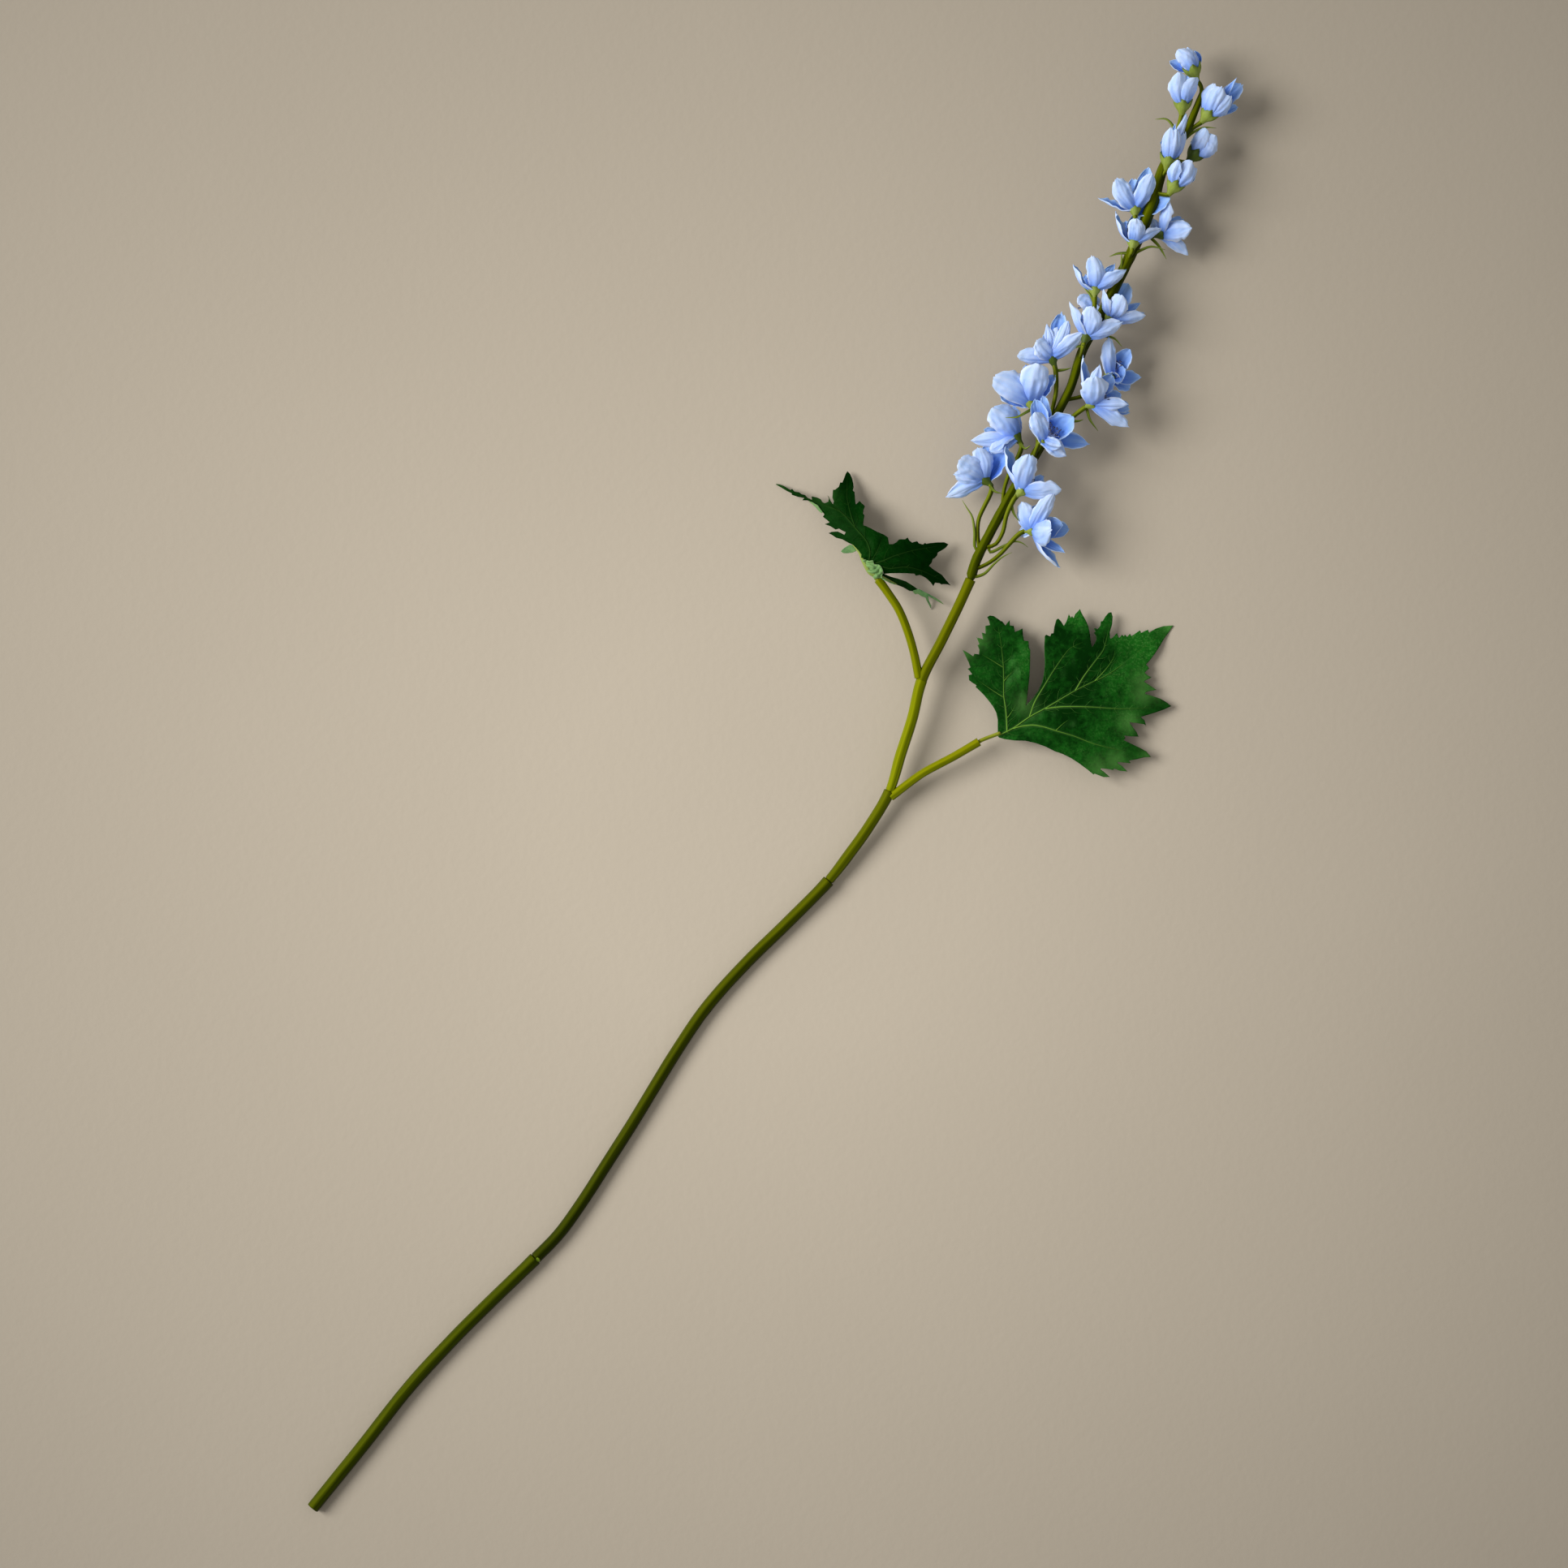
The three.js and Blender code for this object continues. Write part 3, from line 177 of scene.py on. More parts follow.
# Light: a tall window on the left, rather low and so wide that shadows melt away towards the
# right, and the dim room round it.
LIGHT_FROM = Vector((-2.9, 0.7, 2.6))
bpy.ops.object.light_add(type="AREA", location=LIGHT_FROM)
window = bpy.context.object
window.rotation_euler = (-LIGHT_FROM).to_track_quat("-Z", "Y").to_euler()
window.data.shape = "DISK"
window.data.size = 2.4
window.data.energy = 178
window.data.color = (1.0, 0.98, 0.96)
room = bpy.data.worlds.new("pale_room")
room.use_nodes = True
room.node_tree.nodes["Background"].inputs["Color"].default_value = (1.0, 0.97, 0.93, 1)
room.node_tree.nodes["Background"].inputs["Strength"].default_value = 0.41
scene.world = room
scene.view_settings.view_transform = "Standard"


# The stem: moulded plastic tubes with fine ribs, deep green at the cut end and yellow-green
# further up, each pushed into the next and cut square. A wire in them keeps the bends.
STEPS = 16  # how many points of a smooth row lie from one given point to the next


def smooth_line(points):
    """A close row of points, in metres, on a smooth curve through points in millimetres."""
    given = [spot(*p) for p in points]
    given = [2 * given[0] - given[1]] + given + [2 * given[-1] - given[-2]]
    row = []
    for k in range(1, len(given) - 2):
        a, b, c, d = given[k - 1 : k + 3]
        tb = (b - a).length ** 0.5
        tc = tb + (c - b).length ** 0.5
        td = tc + (d - c).length ** 0.5
        for step in range(STEPS):
            t = tb + (tc - tb) * step / STEPS
            ab = a.lerp(b, t / tb)
            bc = b.lerp(c, (t - tb) / (tc - tb))
            cd = c.lerp(d, (t - tc) / (td - tc))
            abc = ab.lerp(bc, t / tc)
            bcd = bc.lerp(cd, (t - tb) / (td - tb))
            row.append(abc.lerp(bcd, (t - tb) / (tc - tb)))
    return row + [given[-2]]


def measured(row):
    """The distance of each point of a row from its start."""
    reach = [0.0]
    for a, b in zip(row, row[1:]):
        reach.append(reach[-1] + (b - a).length)
    return reach


def length_of(row):
    """The length of a row of points, in millimetres."""
    return measured(row)[-1] / MM


def on_line(row, reach, distance):
    """The point and the direction of a row of points at a distance from its start."""
    k = min(max(int(np.searchsorted(reach, distance)) - 1, 0), len(row) - 2)
    share = (distance - reach[k]) / max(reach[k + 1] - reach[k], 1e-9)
    before = row[max(k - 1, 0)]
    after = row[min(k + 2, len(row) - 1)]
    return row[k].lerp(row[k + 1], share), (after - before).normalized()


def blank(name, across, along):
    """A flat grid, one unit square, with its own map: the start of every rolled or cut piece."""
    bpy.ops.object.select_all(action="DESELECT")
    bpy.ops.mesh.primitive_grid_add(x_subdivisions=across, y_subdivisions=along, size=1)
    piece = bpy.context.object
    piece.name = name
    piece.data.name = name
    return piece


def pick(*pieces):
    """Selects pieces, the first of them as the active one."""
    bpy.ops.object.select_all(action="DESELECT")
    for piece in pieces:
        piece.select_set(True)
    bpy.context.view_layer.objects.active = pieces[0]


def shade_smooth(piece):
    """Shades every face of a piece smooth."""
    for face in piece.data.polygons:
        face.use_smooth = True


def close_up(piece):
    """Merges a rolled grid's seam, closes its ends and turns its faces outwards."""
    pick(piece)
    bpy.ops.object.mode_set(mode="EDIT")
    bpy.ops.mesh.select_all(action="SELECT")
    bpy.ops.mesh.remove_doubles(threshold=1e-6)
    bpy.ops.mesh.select_all(action="DESELECT")
    bpy.ops.mesh.select_non_manifold(extend=False, use_wire=False, use_multi_face=False,
                                     use_non_contiguous=False, use_verts=False)
    bpy.ops.mesh.fill_holes(sides=0)
    bpy.ops.mesh.select_all(action="SELECT")
    bpy.ops.mesh.normals_make_consistent(inside=False)
    bpy.ops.mesh.select_all(action="DESELECT")
    bpy.ops.object.mode_set(mode="OBJECT")
    shade_smooth(piece)


def rod(name, row, stations, around, shape=lambda angle, distance: 1.0):
    """A grid rolled round a row of points. A station is a distance along it and a radius, in
    millimetres, and may go back, as inside a socket. "shape" varies the radius round the rod."""
    reach = measured(row)
    piece = blank(name, around, len(stations) - 1)
    frames = []
    for distance, radius in stations:
        centre, direction = on_line(row, reach, distance * MM)
        side = direction.cross(Vector((0, 0, 1))).normalized()
        frames.append((centre, side, side.cross(direction), distance, radius))
    for vertex in piece.data.vertices:
        angle = 2 * math.pi * (vertex.co.x + 0.5)
        centre, side, top, distance, radius = frames[round((vertex.co.y + 0.5) * (len(stations) - 1))]
        out = radius * MM * shape(angle, distance)
        vertex.co = centre + side * (out * math.cos(angle)) + top * (out * math.sin(angle))
    close_up(piece)
    return piece


def stepped(length, steps, half_at):
    """Even stations along a rod, for a half width that depends on the share of its length."""
    return [(length * k / steps, half_at(k / steps)) for k in range(steps + 1)]


def join(name, pieces):
    """One object of several, named."""
    pick(*pieces)
    if len(pieces) > 1:
        bpy.ops.object.join()
    pieces[0].name = name
    pieces[0].data.name = name
    return pieces[0]


def new_group(name, inputs, outputs):
    """An empty node group, what it is given and what it makes. A socket is a label and a kind."""
    group = bpy.data.node_groups.new(name, "ShaderNodeTree")
    for way, sockets in (("INPUT", inputs), ("OUTPUT", outputs)):
        for label, kind in sockets:
            group.interface.new_socket(label, in_out=way, socket_type="NodeSocket" + kind)
    return group, add_node(group, "NodeGroupInput").outputs, add_node(group, "NodeGroupOutput").inputs


def mapped(tree):
    """A piece's own map, and the shares across and along it."""
    own_map = add_node(tree, "ShaderNodeUVMap").outputs["UV"]
    split = add_node(tree, "ShaderNodeSeparateXYZ", in_Vector=own_map).outputs
    return own_map, split["X"], split["Y"]


def streaks():
    """Node group: a colour that varies in fine streaks along a piece's own map."""
    group, given, made = new_group(
        "streaks", (("Light", "Color"), ("Dark", "Color"), ("Stretch", "Vector")),
        (("Color", "Color"), ("Streak", "Float")))
    own_map = add_node(group, "ShaderNodeUVMap").outputs["UV"]
    scaled = moved(group, "MULTIPLY", own_map, given["Stretch"])
    streak = ranged(group, grained(group, scaled, 1.0, 5.0, 0.62)["Fac"], 0.32, 0.68)
    group.links.new(mixed(group, given["Dark"], given["Light"], streak), made["Color"])
    group.links.new(streak, made["Streak"])
    return group


STREAKS = streaks()


def stem_plastic(name, start, end, streaks_along, roughness=0.5, far=0.36):
    """Ribbed satin plastic whose green changes from one end of the tube to the other. Painted shade darkens
    its grooves and one side; far is how bright that side stays.
    """
    material, tree, shader = new_material(name, roughness, Specular_IOR_Level=0.14,
                                          Specular_Tint=colour(200, 206, 60))
    _, across, along = mapped(tree)
    green = mixed(tree, colour(*start), colour(*end), along)
    deeper = mixed(tree, green, (0.55, 0.6, 0.45, 1), blend_type="MULTIPLY")
    streaked = add_node(tree, "ShaderNodeGroup", node_tree=STREAKS, in_Light=green, in_Dark=deeper,
                        in_Stretch=(11, streaks_along * 0.35, 0)).outputs
    # Painted shade darkens the grooves at every other corner of the tube, broken along its streaks.
    from_corner = worked_out(tree, "PINGPONG", worked_out(tree, "MULTIPLY", across, 4.0), 0.5)
    line = ranged(tree, from_corner, 0.03, 0.16, 1.0, 0.0)
    broken = worked_out(tree, "MULTIPLY_ADD", streaked["Streak"], -0.8, 0.8)
    groove_painted_shade = mixed(tree, green, (0.36, 0.4, 0.3, 1), blend_type="MULTIPLY")
    painted_groove_lined = mixed(tree, streaked["Color"], groove_painted_shade, worked_out(tree, "MULTIPLY", line, broken))
    # Painted shade: one side of the moulding, from the flat beside the topmost one, is coloured darker, as
    # the side away from the window.
    from_right = worked_out(tree, "PINGPONG", across, 0.5)
    painted_side_mask = ranged(tree, from_right, 0.215, 0.265, 1.0, 0.0)
    painted_side_shade = mixed(tree, painted_groove_lined, (far, far + 0.05, far - 0.08, 1), blend_type="MULTIPLY")
    fine_ribs = relief(tree, streaked["Streak"], 0.25, 0.0002)
    coat(tree, shader, mixed(tree, painted_groove_lined, painted_side_shade, painted_side_mask), fine_ribs)
    return material


def ribbed(angle, distance):
    """Eight flats with a shallow groove at every other corner, a little uneven along the tube."""
    half_flat = math.pi / 8
    corner = (angle + half_flat) % (2 * half_flat) - half_flat
    flat = 1 / math.cos(half_flat - abs(corner)) * math.cos(half_flat) ** 0.35
    groove = 0.07 * math.exp(-((corner / 0.1) ** 2)) * (math.cos(4 * angle) > 0)
    uneven = 0.02 * noise.noise(Vector((3 * math.cos(angle), 3 * math.sin(angle), distance * 0.05)))
    return flat - groove + uneven


STEM_LINE = smooth_line([
    (-216.8, -340.7, 3.1), (-193.2, -311.4, 3.1), (-171.6, -284.1, 3.1), (-150.7, -261.3, 3.1),
    (-135.5, -246.1, 3.1), (-112.7, -224.0, 3.1), (-101.3, -212.2, 3.0), (-90.6, -197.4, 2.95),
    (-80.4, -181.5, 2.95), (-67.1, -160.6, 2.95), (-46.2, -126.4, 2.95), (-32.9, -107.0, 2.95),
    (-13.9, -85.7, 2.95), (5.1, -67.1, 3.2), (24.5, -47.3, 4.2), (35.4, -33.2, 5.2),
    (43.0, -22.5, 6.2), (52.9, -5.5, 8.0), (58.1, 11.6, 9.6), (63.5, 28.6, 11.0),
    (67.9, 46.4, 12.4), (77.0, 64.5, 13.6), (85.3, 81.5, 14.6), (90.6, 93.2, 15.2),
])
STEM_REACH = [d / MM for d in measured(STEM_LINE)]
TUBES = [
    # name, node, slot, first and last of the places above, width, how far its foot starts past the
    # joint, the foot's share of the width, and the colours of its two ends
    ("lower_tube", "stem_lower", "stem_deep_green", 0, 5, 6.2, 0, 0.97, (72, 80, 1), (66, 76, 1)),
    ("middle_tube", "stem_middle", "stem_deep_green", 5, 14, 5.8, 0.3, 0.97, (44, 54, 1), (88, 94, 1)),
    ("upper_tube", "stem_upper", "stem_light_green", 14, 17, 5.3, 0.3, 0.88, (94, 100, 1), (100, 106, 1)),
    ("neck_tube", "stem_neck", "stem_light_green", 17, 20, 5.2, 0.3, 0.84, (140, 146, 5), (132, 138, 3)),
    ("sleeve_tube", "stem_sleeve", "stem_light_green", 20, 23, 4.9, -0.6, 1.04, (110, 114, 1),
     (108, 112, 1)),
]
# Shares of a tube's half width: the tube itself, its socket, and the peg that the foot ends in.
TUBE_SHARE, SOCKET_SHARE, PEG_SHARE = 0.985, 0.76, 0.72
PEG_LENGTH = 1.5
SOCKET_DEPTH = 2.4
COLLAR = 0.045  # the share that the tube widens by over its last millimetres
COLLAR_LENGTH = 7
# How bright the painted shade on the tubes' far side leaves that side.
DEEP_PAINTED_SHADE, LIGHT_PAINTED_SHADE = 0.36, 0.66  # how bright the tubes' deeper side is
STREAK_LENGTH = 16


def tube_stations(start, end, half, socket, foot_share):
    """A tube from its foot to its square mouth, which holds the next tube in a short socket."""
    peg = half * PEG_SHARE
    stations = [(start - PEG_LENGTH, peg), (start, peg), (start + 0.05, half * foot_share * 0.95)]
    stations.append((start + 0.35, half * foot_share))
    steps = int((end - start) / 1.6)
    for k in range(1, steps):
        share = k / steps
        grown = foot_share + (1 - foot_share) * min(1, 4 * share)
        collar = 1 + COLLAR * max(0, 1 - (end - start) * (1 - share) / COLLAR_LENGTH)
        stations.append((start + (end - start) * share, half * grown * collar))
    mouth = [(end - 0.3, half * (1 + COLLAR)), (end, half), (end, socket), (end - SOCKET_DEPTH, socket)]
    return stations + mouth


def cut_end(half):
    """The square cut end of the stem, with the small hole of its wire."""
    return [(0.0, 0.9), (1.2, 0.9), (1.2, half * 0.55), (0, half * 0.62), (0, half * 0.9)]


def joint_barb(start):
    """The peg's barb, which has pushed through at the right of a joint."""
    foot, heading = on_line(STEM_LINE, measured(STEM_LINE), start * MM)
    right = heading.cross(Vector((0, 0, 1))).normalized()
    row = smooth_line([foot / MM + right * across + heading * along + Vector((0, 0, up))
                       for across, along, up in ((0.1, 0.5, 2.2), (1.1, 0.4, 2.2), (2.4, 0.1, 1.5))])
    barb = rod("barb", row, [(0, 0.4), (0.3, 0.7), (0.9, 0.95), (1.7, 0.85), (2.3, 0.55)], 20)
    barb.data.materials.append(stem_plastic("barb_green", (104, 132, 24), (140, 160, 60), 0.3))
    return barb


for name, node, slot, first, last, width, gap, foot_share, start_green, end_green in TUBES:
    start, end = STEM_REACH[first * STEPS], STEM_REACH[last * STEPS]
    half = width / 2
    stations = tube_stations(start + gap, end, half * TUBE_SHARE, half * SOCKET_SHARE, foot_share)
    if name == "lower_tube":
        # It has no peg, whose part of the profile is the first three stations.
        stations = cut_end(half) + stations[3:]
    tube = rod(name, STEM_LINE, stations, 64, ribbed)
    far = DEEP_PAINTED_SHADE if slot == "stem_deep_green" else LIGHT_PAINTED_SHADE
    green = stem_plastic(name + "_green", start_green, end_green, (end - start) / STREAK_LENGTH, far=far)
    tube.data.materials.append(green)
    if name == "middle_tube":
        tube = join(name, [tube, joint_barb(start)])
    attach(tube, "root")
    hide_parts(node)

# Leaf stalk tubes: the same ribbed plastic, thinner, each moulded apart and butted against the
# main tube. The far end is cut square and holds the stalk of its leaf.
PETIOLES = [
    # name, node, line, how much of it is buried in the main tube, and the colours of its two ends
    ("left_stalk_tube", "petiole_left",
     [(67.0, 45.0, 12.6), (64.2, 59.0, 13.4), (61.2, 69.2, 14.0), (57.0, 79.3, 14.4),
      (52.4, 86.4, 14.6), (49.3, 90.8, 14.7), (47.4, 93.2, 14.9)], 3.0, (130, 134, 3), (124, 128, 3)),
    ("right_stalk_tube", "petiole_right",
     [(51.6, -9.4, 8.0), (55.0, -7.0, 8.4), (67.9, 2.6, 9.0), (75.6, 6.9, 9.4), (82.8, 10.7, 9.6),
      (94.6, 17.6, 9.8)], 2.8, (142, 146, 6), (140, 142, 6)),
]
STALK_TUBE_HALF, STALK_TUBE_SOCKET, STALK_TUBE_FOOT = 1.96, 1.15, 1.06
UNDER_SKIN = 0.6  # how far inside the main tube's side a stalk tube starts
for name, node, points, buried, foot_green, mouth_green in PETIOLES:
    row = smooth_line(points)
    length = length_of(row)
    stations = tube_stations(buried - UNDER_SKIN, length, STALK_TUBE_HALF, STALK_TUBE_SOCKET,
                             STALK_TUBE_FOOT)
    tube = rod(name, row, stations, 48, ribbed)
    green = stem_plastic(name + "_green", foot_green, mouth_green, length / STREAK_LENGTH,
                         far=LIGHT_PAINTED_SHADE)
    tube.data.materials.append(green)
    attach(tube, "root")
    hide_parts(node)


# The spike's moulding: a yellow-green axis with uneven ribs, the flower stalks and whisker bracts
# that leave it, and a cup under each flower. The cups of the buds end in five teeth.
FLOWERS = [
    # place of the cup's foot, heading, lift, kind, and its petals: place of the tip, width, the way
    # the hollow side faces round the petal's length (90 is up), sharpness of the tip, and bow
    ((195.7, 325.2, 20), 112, 0, "bud", [
     (186.4, 338.9, 25, 9.2, -100, 0.1, 0.14), (191.1, 340.5, 21, 8.7, -30, 0.1, 0.16),
     (183.1, 334.2, 17, 6.4, 120, 0.1, 0.1), (189.3, 339.3, 15, 7.8, 90, 0.1, 0.14),
     (194.1, 339.6, 16, 7.8, 60, 0.1, 0.14)]),
    ((188.5, 308.8, 21), 86, 0, "bud", [
     (186.6, 328.1, 28, 9.7, -96, 0.15, 0.12), (184.6, 323.6, 24, 6.9, 190, 0.3, 0.14),
     (195.4, 326.1, 25, 9.7, -50, 0.05, 0.14), (191.5, 327.9, 16, 8.3, 90, 0.1, 0.12),
     (187.7, 326.5, 15, 8.3, 110, 0.1, 0.12)]),
    ((197.7, 305.6, 19), 50, 2, "bud", [
     (203.4, 323.2, 24, 9.7, -125, 0.05, 0.13), (206.7, 321.5, 26, 10.1, -90, 0.05, 0.13),
     (211.3, 317.2, 24, 9.2, -68, 0.05, 0.13), (214.2, 326.3, 20, 4.4, 60, 1, 0.03),
     (216.9, 323.8, 15, 9.2, 90, 0.05, 0.06), (215.1, 313.5, 13, 4.8, 80, 0.1, 0.1)]),
    ((181.3, 283.1, 22), 78, 0, "bud", [
     (183.1, 302.4, 29, 8.3, -105, 0.5, 0.15), (185.8, 301.6, 29, 8.3, -70, 0.25, 0.15),
     (185.2, 304.5, 26, 3.6, 90, 1, 0.05), (190.2, 300.6, 24, 6.9, -15, 0.15, 0.13),
     (190.8, 309.6, 21, 4.4, -90, 0.1, 0.04), (182.7, 300.6, 17, 8.7, 95, 0.1, 0.13)]),
    ((191.6, 287.6, 14), 48, -2, "bud", [
     (200.0, 303.0, 19, 8.7, -110, 0.05, 0.13), (204.6, 299.7, 18, 12.0, -75, 0.05, 0.14),
     (200.2, 301.0, 9, 8.3, 100, 0.1, 0.12), (205.2, 295.7, 9, 8.3, 80, 0.1, 0.12)]),
    ((182.3, 271.6, 24), 58, 0, "bud", [
     (186.4, 287.2, 30, 7.8, -115, 0.35, 0.16), (192.6, 287.0, 28, 9.7, -85, 0.05, 0.14),
     (195.5, 283.6, 24, 7.4, -55, 0.1, 0.13), (190.1, 286.4, 19, 8.3, 95, 0.1, 0.12),
     (194.7, 281.2, 18, 7.4, 80, 0.1, 0.12)]),
    ((166.9, 260.8, 22), 92, -22, "open", [
     (157.6, 278.5, 27, 9.9, -95, 0.05, 0.12), (174.2, 281.1, 27, 9.1, -75, 0.15, 0.12),
     (173.5, 284.4, 20, 7.5, 90, 0.2, 0.08), (150.2, 271.0, 18, 8.3, 160, 0.9, 0.1),
     (182.7, 270.5, 23, 9.5, 80, 0.1, 0.16), (166.6, 280.1, 14, 7.9, 90, 0.1, 0.12)]),
    ((165.3, 245.2, 24), 82, -22, "open", [
     (158.2, 263.8, 23, 8.3, 166, 0.7, 0.15), (166.9, 260.1, 30, 8.7, -92, 0.1, 0.14),
     (178.6, 256.3, 22, 7.1, -42, 0.7, 0.14), (168.8, 264.0, 16, 8.3, 92, 0.05, 0.1),
     (163.2, 260.4, 14, 7.1, 100, 0.1, 0.1)]),
    ((174.8, 253.0, 16), 16, -12, "open", [
     (182.8, 269.6, 21, 7.5, -135, 0.35, 0.14), (193.1, 256.5, 20, 10.7, -90, 0.2, 0.12),
     (192.2, 244.8, 10, 7.1, -70, 0.9, 0.08), (175.4, 261.0, 12, 5.1, -90, 0.1, 0.1),
     (190.1, 261.7, 8, 7.9, 90, 0.1, 0.1), (189.0, 251.9, 7, 7.1, 90, 0.2, 0.1)]),
    ((147.9, 223.3, 25), 90, -22, "open", [
     (146.5, 242.4, 31, 9.5, -92, 0.1, 0.11), (138.5, 239.1, 25, 8.7, 168, 0.9, 0.16),
     (162.2, 236.7, 26, 8.3, -58, 0.8, 0.15), (157.8, 240.1, 17, 5.5, 90, 0.8, 0.06),
     (149.9, 237.6, 15, 7.9, 90, 0.1, 0.1), (144.3, 235.4, 15, 7.1, 95, 0.1, 0.1)]),
    ((152.7, 210.8, 20), 55, 0, "open", [
     (152.4, 227.6, 27, 6.3, -150, 0.8, 0.13), (160.5, 224.5, 29, 9.9, -94, 0.05, 0.13),
     (164.0, 230.9, 14, 10.3, 90, 0.05, 0.08), (171.6, 216.1, 20, 7.9, -50, 0.55, 0.14),
     (171.9, 217.7, 14, 4.0, 60, 0.9, 0.05), (170.1, 222.3, 12, 5.1, 90, 0.9, 0.05),
     (151.4, 215.3, 15, 5.1, -90, 0.05, 0.1)]),
    ((142.6, 201.3, 27), 76, -20, "open", [
     (136.5, 221.4, 29, 7.9, 200, 0.7, 0.11), (146.0, 219.2, 34, 10.3, -92, 0.1, 0.13),
     (160.3, 212.2, 27, 9.5, -62, 0.35, 0.13), (150.5, 218.9, 18, 7.9, 90, 0.1, 0.1),
     (143.5, 216.4, 16, 7.1, 95, 0.1, 0.1)]),
    ((129.6, 191.4, 22), 108, -5, "open", [
     (132.7, 216.8, 20, 8.3, 92, 0.05, 0.12), (135.5, 212.7, 25, 5.9, -90, 0.05, 0.12),
     (125.7, 211.6, 24, 4.8, -95, 1, 0.05), (125.1, 207.3, 22, 5.1, 100, 0.2, 0.1),
     (120.7, 203.8, 28, 9.5, -85, 0.05, 0.13), (111.8, 196.9, 25, 8.7, -105, 0.35, 0.08),
     (142.2, 207.7, 27, 8.3, -65, 0.7, 0.12), (130.3, 209.8, 23, 5.9, -90, 0.1, 0.08),
     (119.4, 201.5, 13, 7.9, 90, 0.1, 0.1)]),
    ((119.9, 171.2, 19.5), 110, -15, "open", [
     (101.2, 187.0, 26, 14.3, -95, 0, 0.11), (121.4, 192.8, 30, 15.0, -88, 0, 0.12),
     (129.2, 187.6, 23, 9.1, 40, 0.05, 0.16), (116.1, 192.7, 20, 5.9, 95, 0.1, 0.1),
     (104.5, 178.9, 17, 8.7, 110, 0.1, 0.1), (113.4, 188.7, 12, 9.5, 90, 0.1, 0.1)]),
    ((152.5, 185.8, 12.7), 46, -5, "open", [
     (154.6, 205.6, 19, 7.9, -80, 0.5, 0.12), (164.7, 200.2, 15, 9.1, 95, 0.05, 0.1),
     (170.4, 187.8, 8, 7.5, 85, 0.8, 0.06), (162.4, 190.7, 15, 11.5, 88, 0.05, 0.14),
     (156.6, 189.1, 17, 7.9, 95, 0.1, 0.16), (165.2, 182.2, 6, 7.1, 80, 0.1, 0.1)]),
    ((143.2, 172.6, 22), 30, 10, "double", [
     (142.9, 196.3, 28, 8.7, 155, 0.85, 0.13), (147.4, 186.4, 36, 13.5, -90, 0, 0.15),
     (149.9, 192.3, 31, 6.7, -90, 0.95, 0.04), (164.7, 173.0, 15, 7.9, 90, 0.2, 0.08),
     (163.0, 174.3, 25, 6.3, -70, 0.35, 0.1), (163.7, 164.4, 19, 7.9, -70, 0.4, 0.1),
     (164.9, 171.3, 11, 5.5, 80, 0.1, 0.05), (156.4, 188.0, 22, 8.7, 95, 0.1, 0.14),
     (160.3, 179.1, 20, 8.7, 80, 0.1, 0.14)]),
    ((121.9, 155.8, 25), 40, 36, "double", [
     (119.6, 169.8, 37, 9.1, -85, 0, 0.15), (120.2, 175.9, 30, 8.3, 92, 0.05, 0.1),
     (124.2, 178.1, 24, 6.3, 90, 0.1, 0.08), (137.4, 167.8, 32, 13.5, 80, 0, 0.17),
     (145.6, 156.1, 19, 8.7, 80, 0.85, 0.07), (131.9, 154.7, 31, 7.5, -60, 0.25, 0.13),
     (134.4, 150.2, 25, 8.7, -100, 0.7, 0.12), (119.0, 167.3, 22, 7.9, 100, 0.1, 0.1)]),
    ((114.4, 156.0, 15.1), 128, -12, "open", [
     (100.6, 172.9, 22, 14.6, -92, 0, 0.11), (110.3, 173.8, 13, 8.7, 90, 0.1, 0.1),
     (90.6, 157.8, 15, 7.9, -95, 0.85, 0.06), (99.6, 152.8, 18, 7.1, -80, 0.05, 0.1),
     (97.0, 163.2, 14, 5.1, 90, 0.1, 0.08), (103.6, 152.2, 22, 3.6, -10, 0.3, 0.12),
     (105.9, 165.4, 9, 8.7, 90, 0.1, 0.1)]),
    ((100.5, 136.8, 13.4), 138, -12, "open", [
     (85.1, 148.8, 22, 11.9, -90, 0, 0.12), (94.2, 154.2, 20, 9.9, -88, 0, 0.12),
     (97.8, 156.0, 15, 5.9, 90, 0.1, 0.06), (107.4, 155.0, 19, 9.5, 65, 0.35, 0.12),
     (79.3, 131.8, 13, 8.3, -105, 0.75, 0.08), (83.0, 142.2, 17, 7.5, -90, 0, 0.1),
     (89.3, 146.1, 8, 8.7, 90, 0.1, 0.1)]),
    ((111.0, 131.0, 24), 46, 0, "open", [
     (117.1, 150.5, 33, 11.9, -90, 0, 0.12), (106.9, 154.7, 24, 10.7, 150, 0.5, 0.12),
     (132.0, 134.6, 27, 9.9, -65, 0, 0.14), (124.5, 141.1, 18, 5.5, 90, 0.1, 0.08),
     (118.6, 143.9, 15, 8.7, 95, 0.1, 0.1), (126.2, 137.1, 14, 8.7, 80, 0.1, 0.1)]),
    ((114.7, 115.4, 18), 8, 10, "double", [
     (127.8, 116.0, 30, 13.1, -90, 0, 0.16), (128.3, 132.7, 27, 9.1, -75, 0.2, 0.1),
     (114.5, 128.8, 22, 9.5, -110, 0, 0.12), (113.3, 114.4, 15, 5.9, -90, 0.2, 0.1),
     (132.6, 119.0, 23, 10.7, 80, 0.05, 0.14), (135.9, 116.6, 17, 10.3, 80, 0.05, 0.1),
     (132.1, 99.2, 16, 9.9, 22, 0.75, 0.12), (134.3, 105.9, 19, 6.3, 55, 0.8, 0.08),
     (126.2, 125.1, 21, 5.9, 90, 0.1, 0.12), (122.4, 128.0, 14, 7.9, 95, 0.1, 0.1)]),
    ((152.2, 215.9, 7.8), 142, -2, "open", [
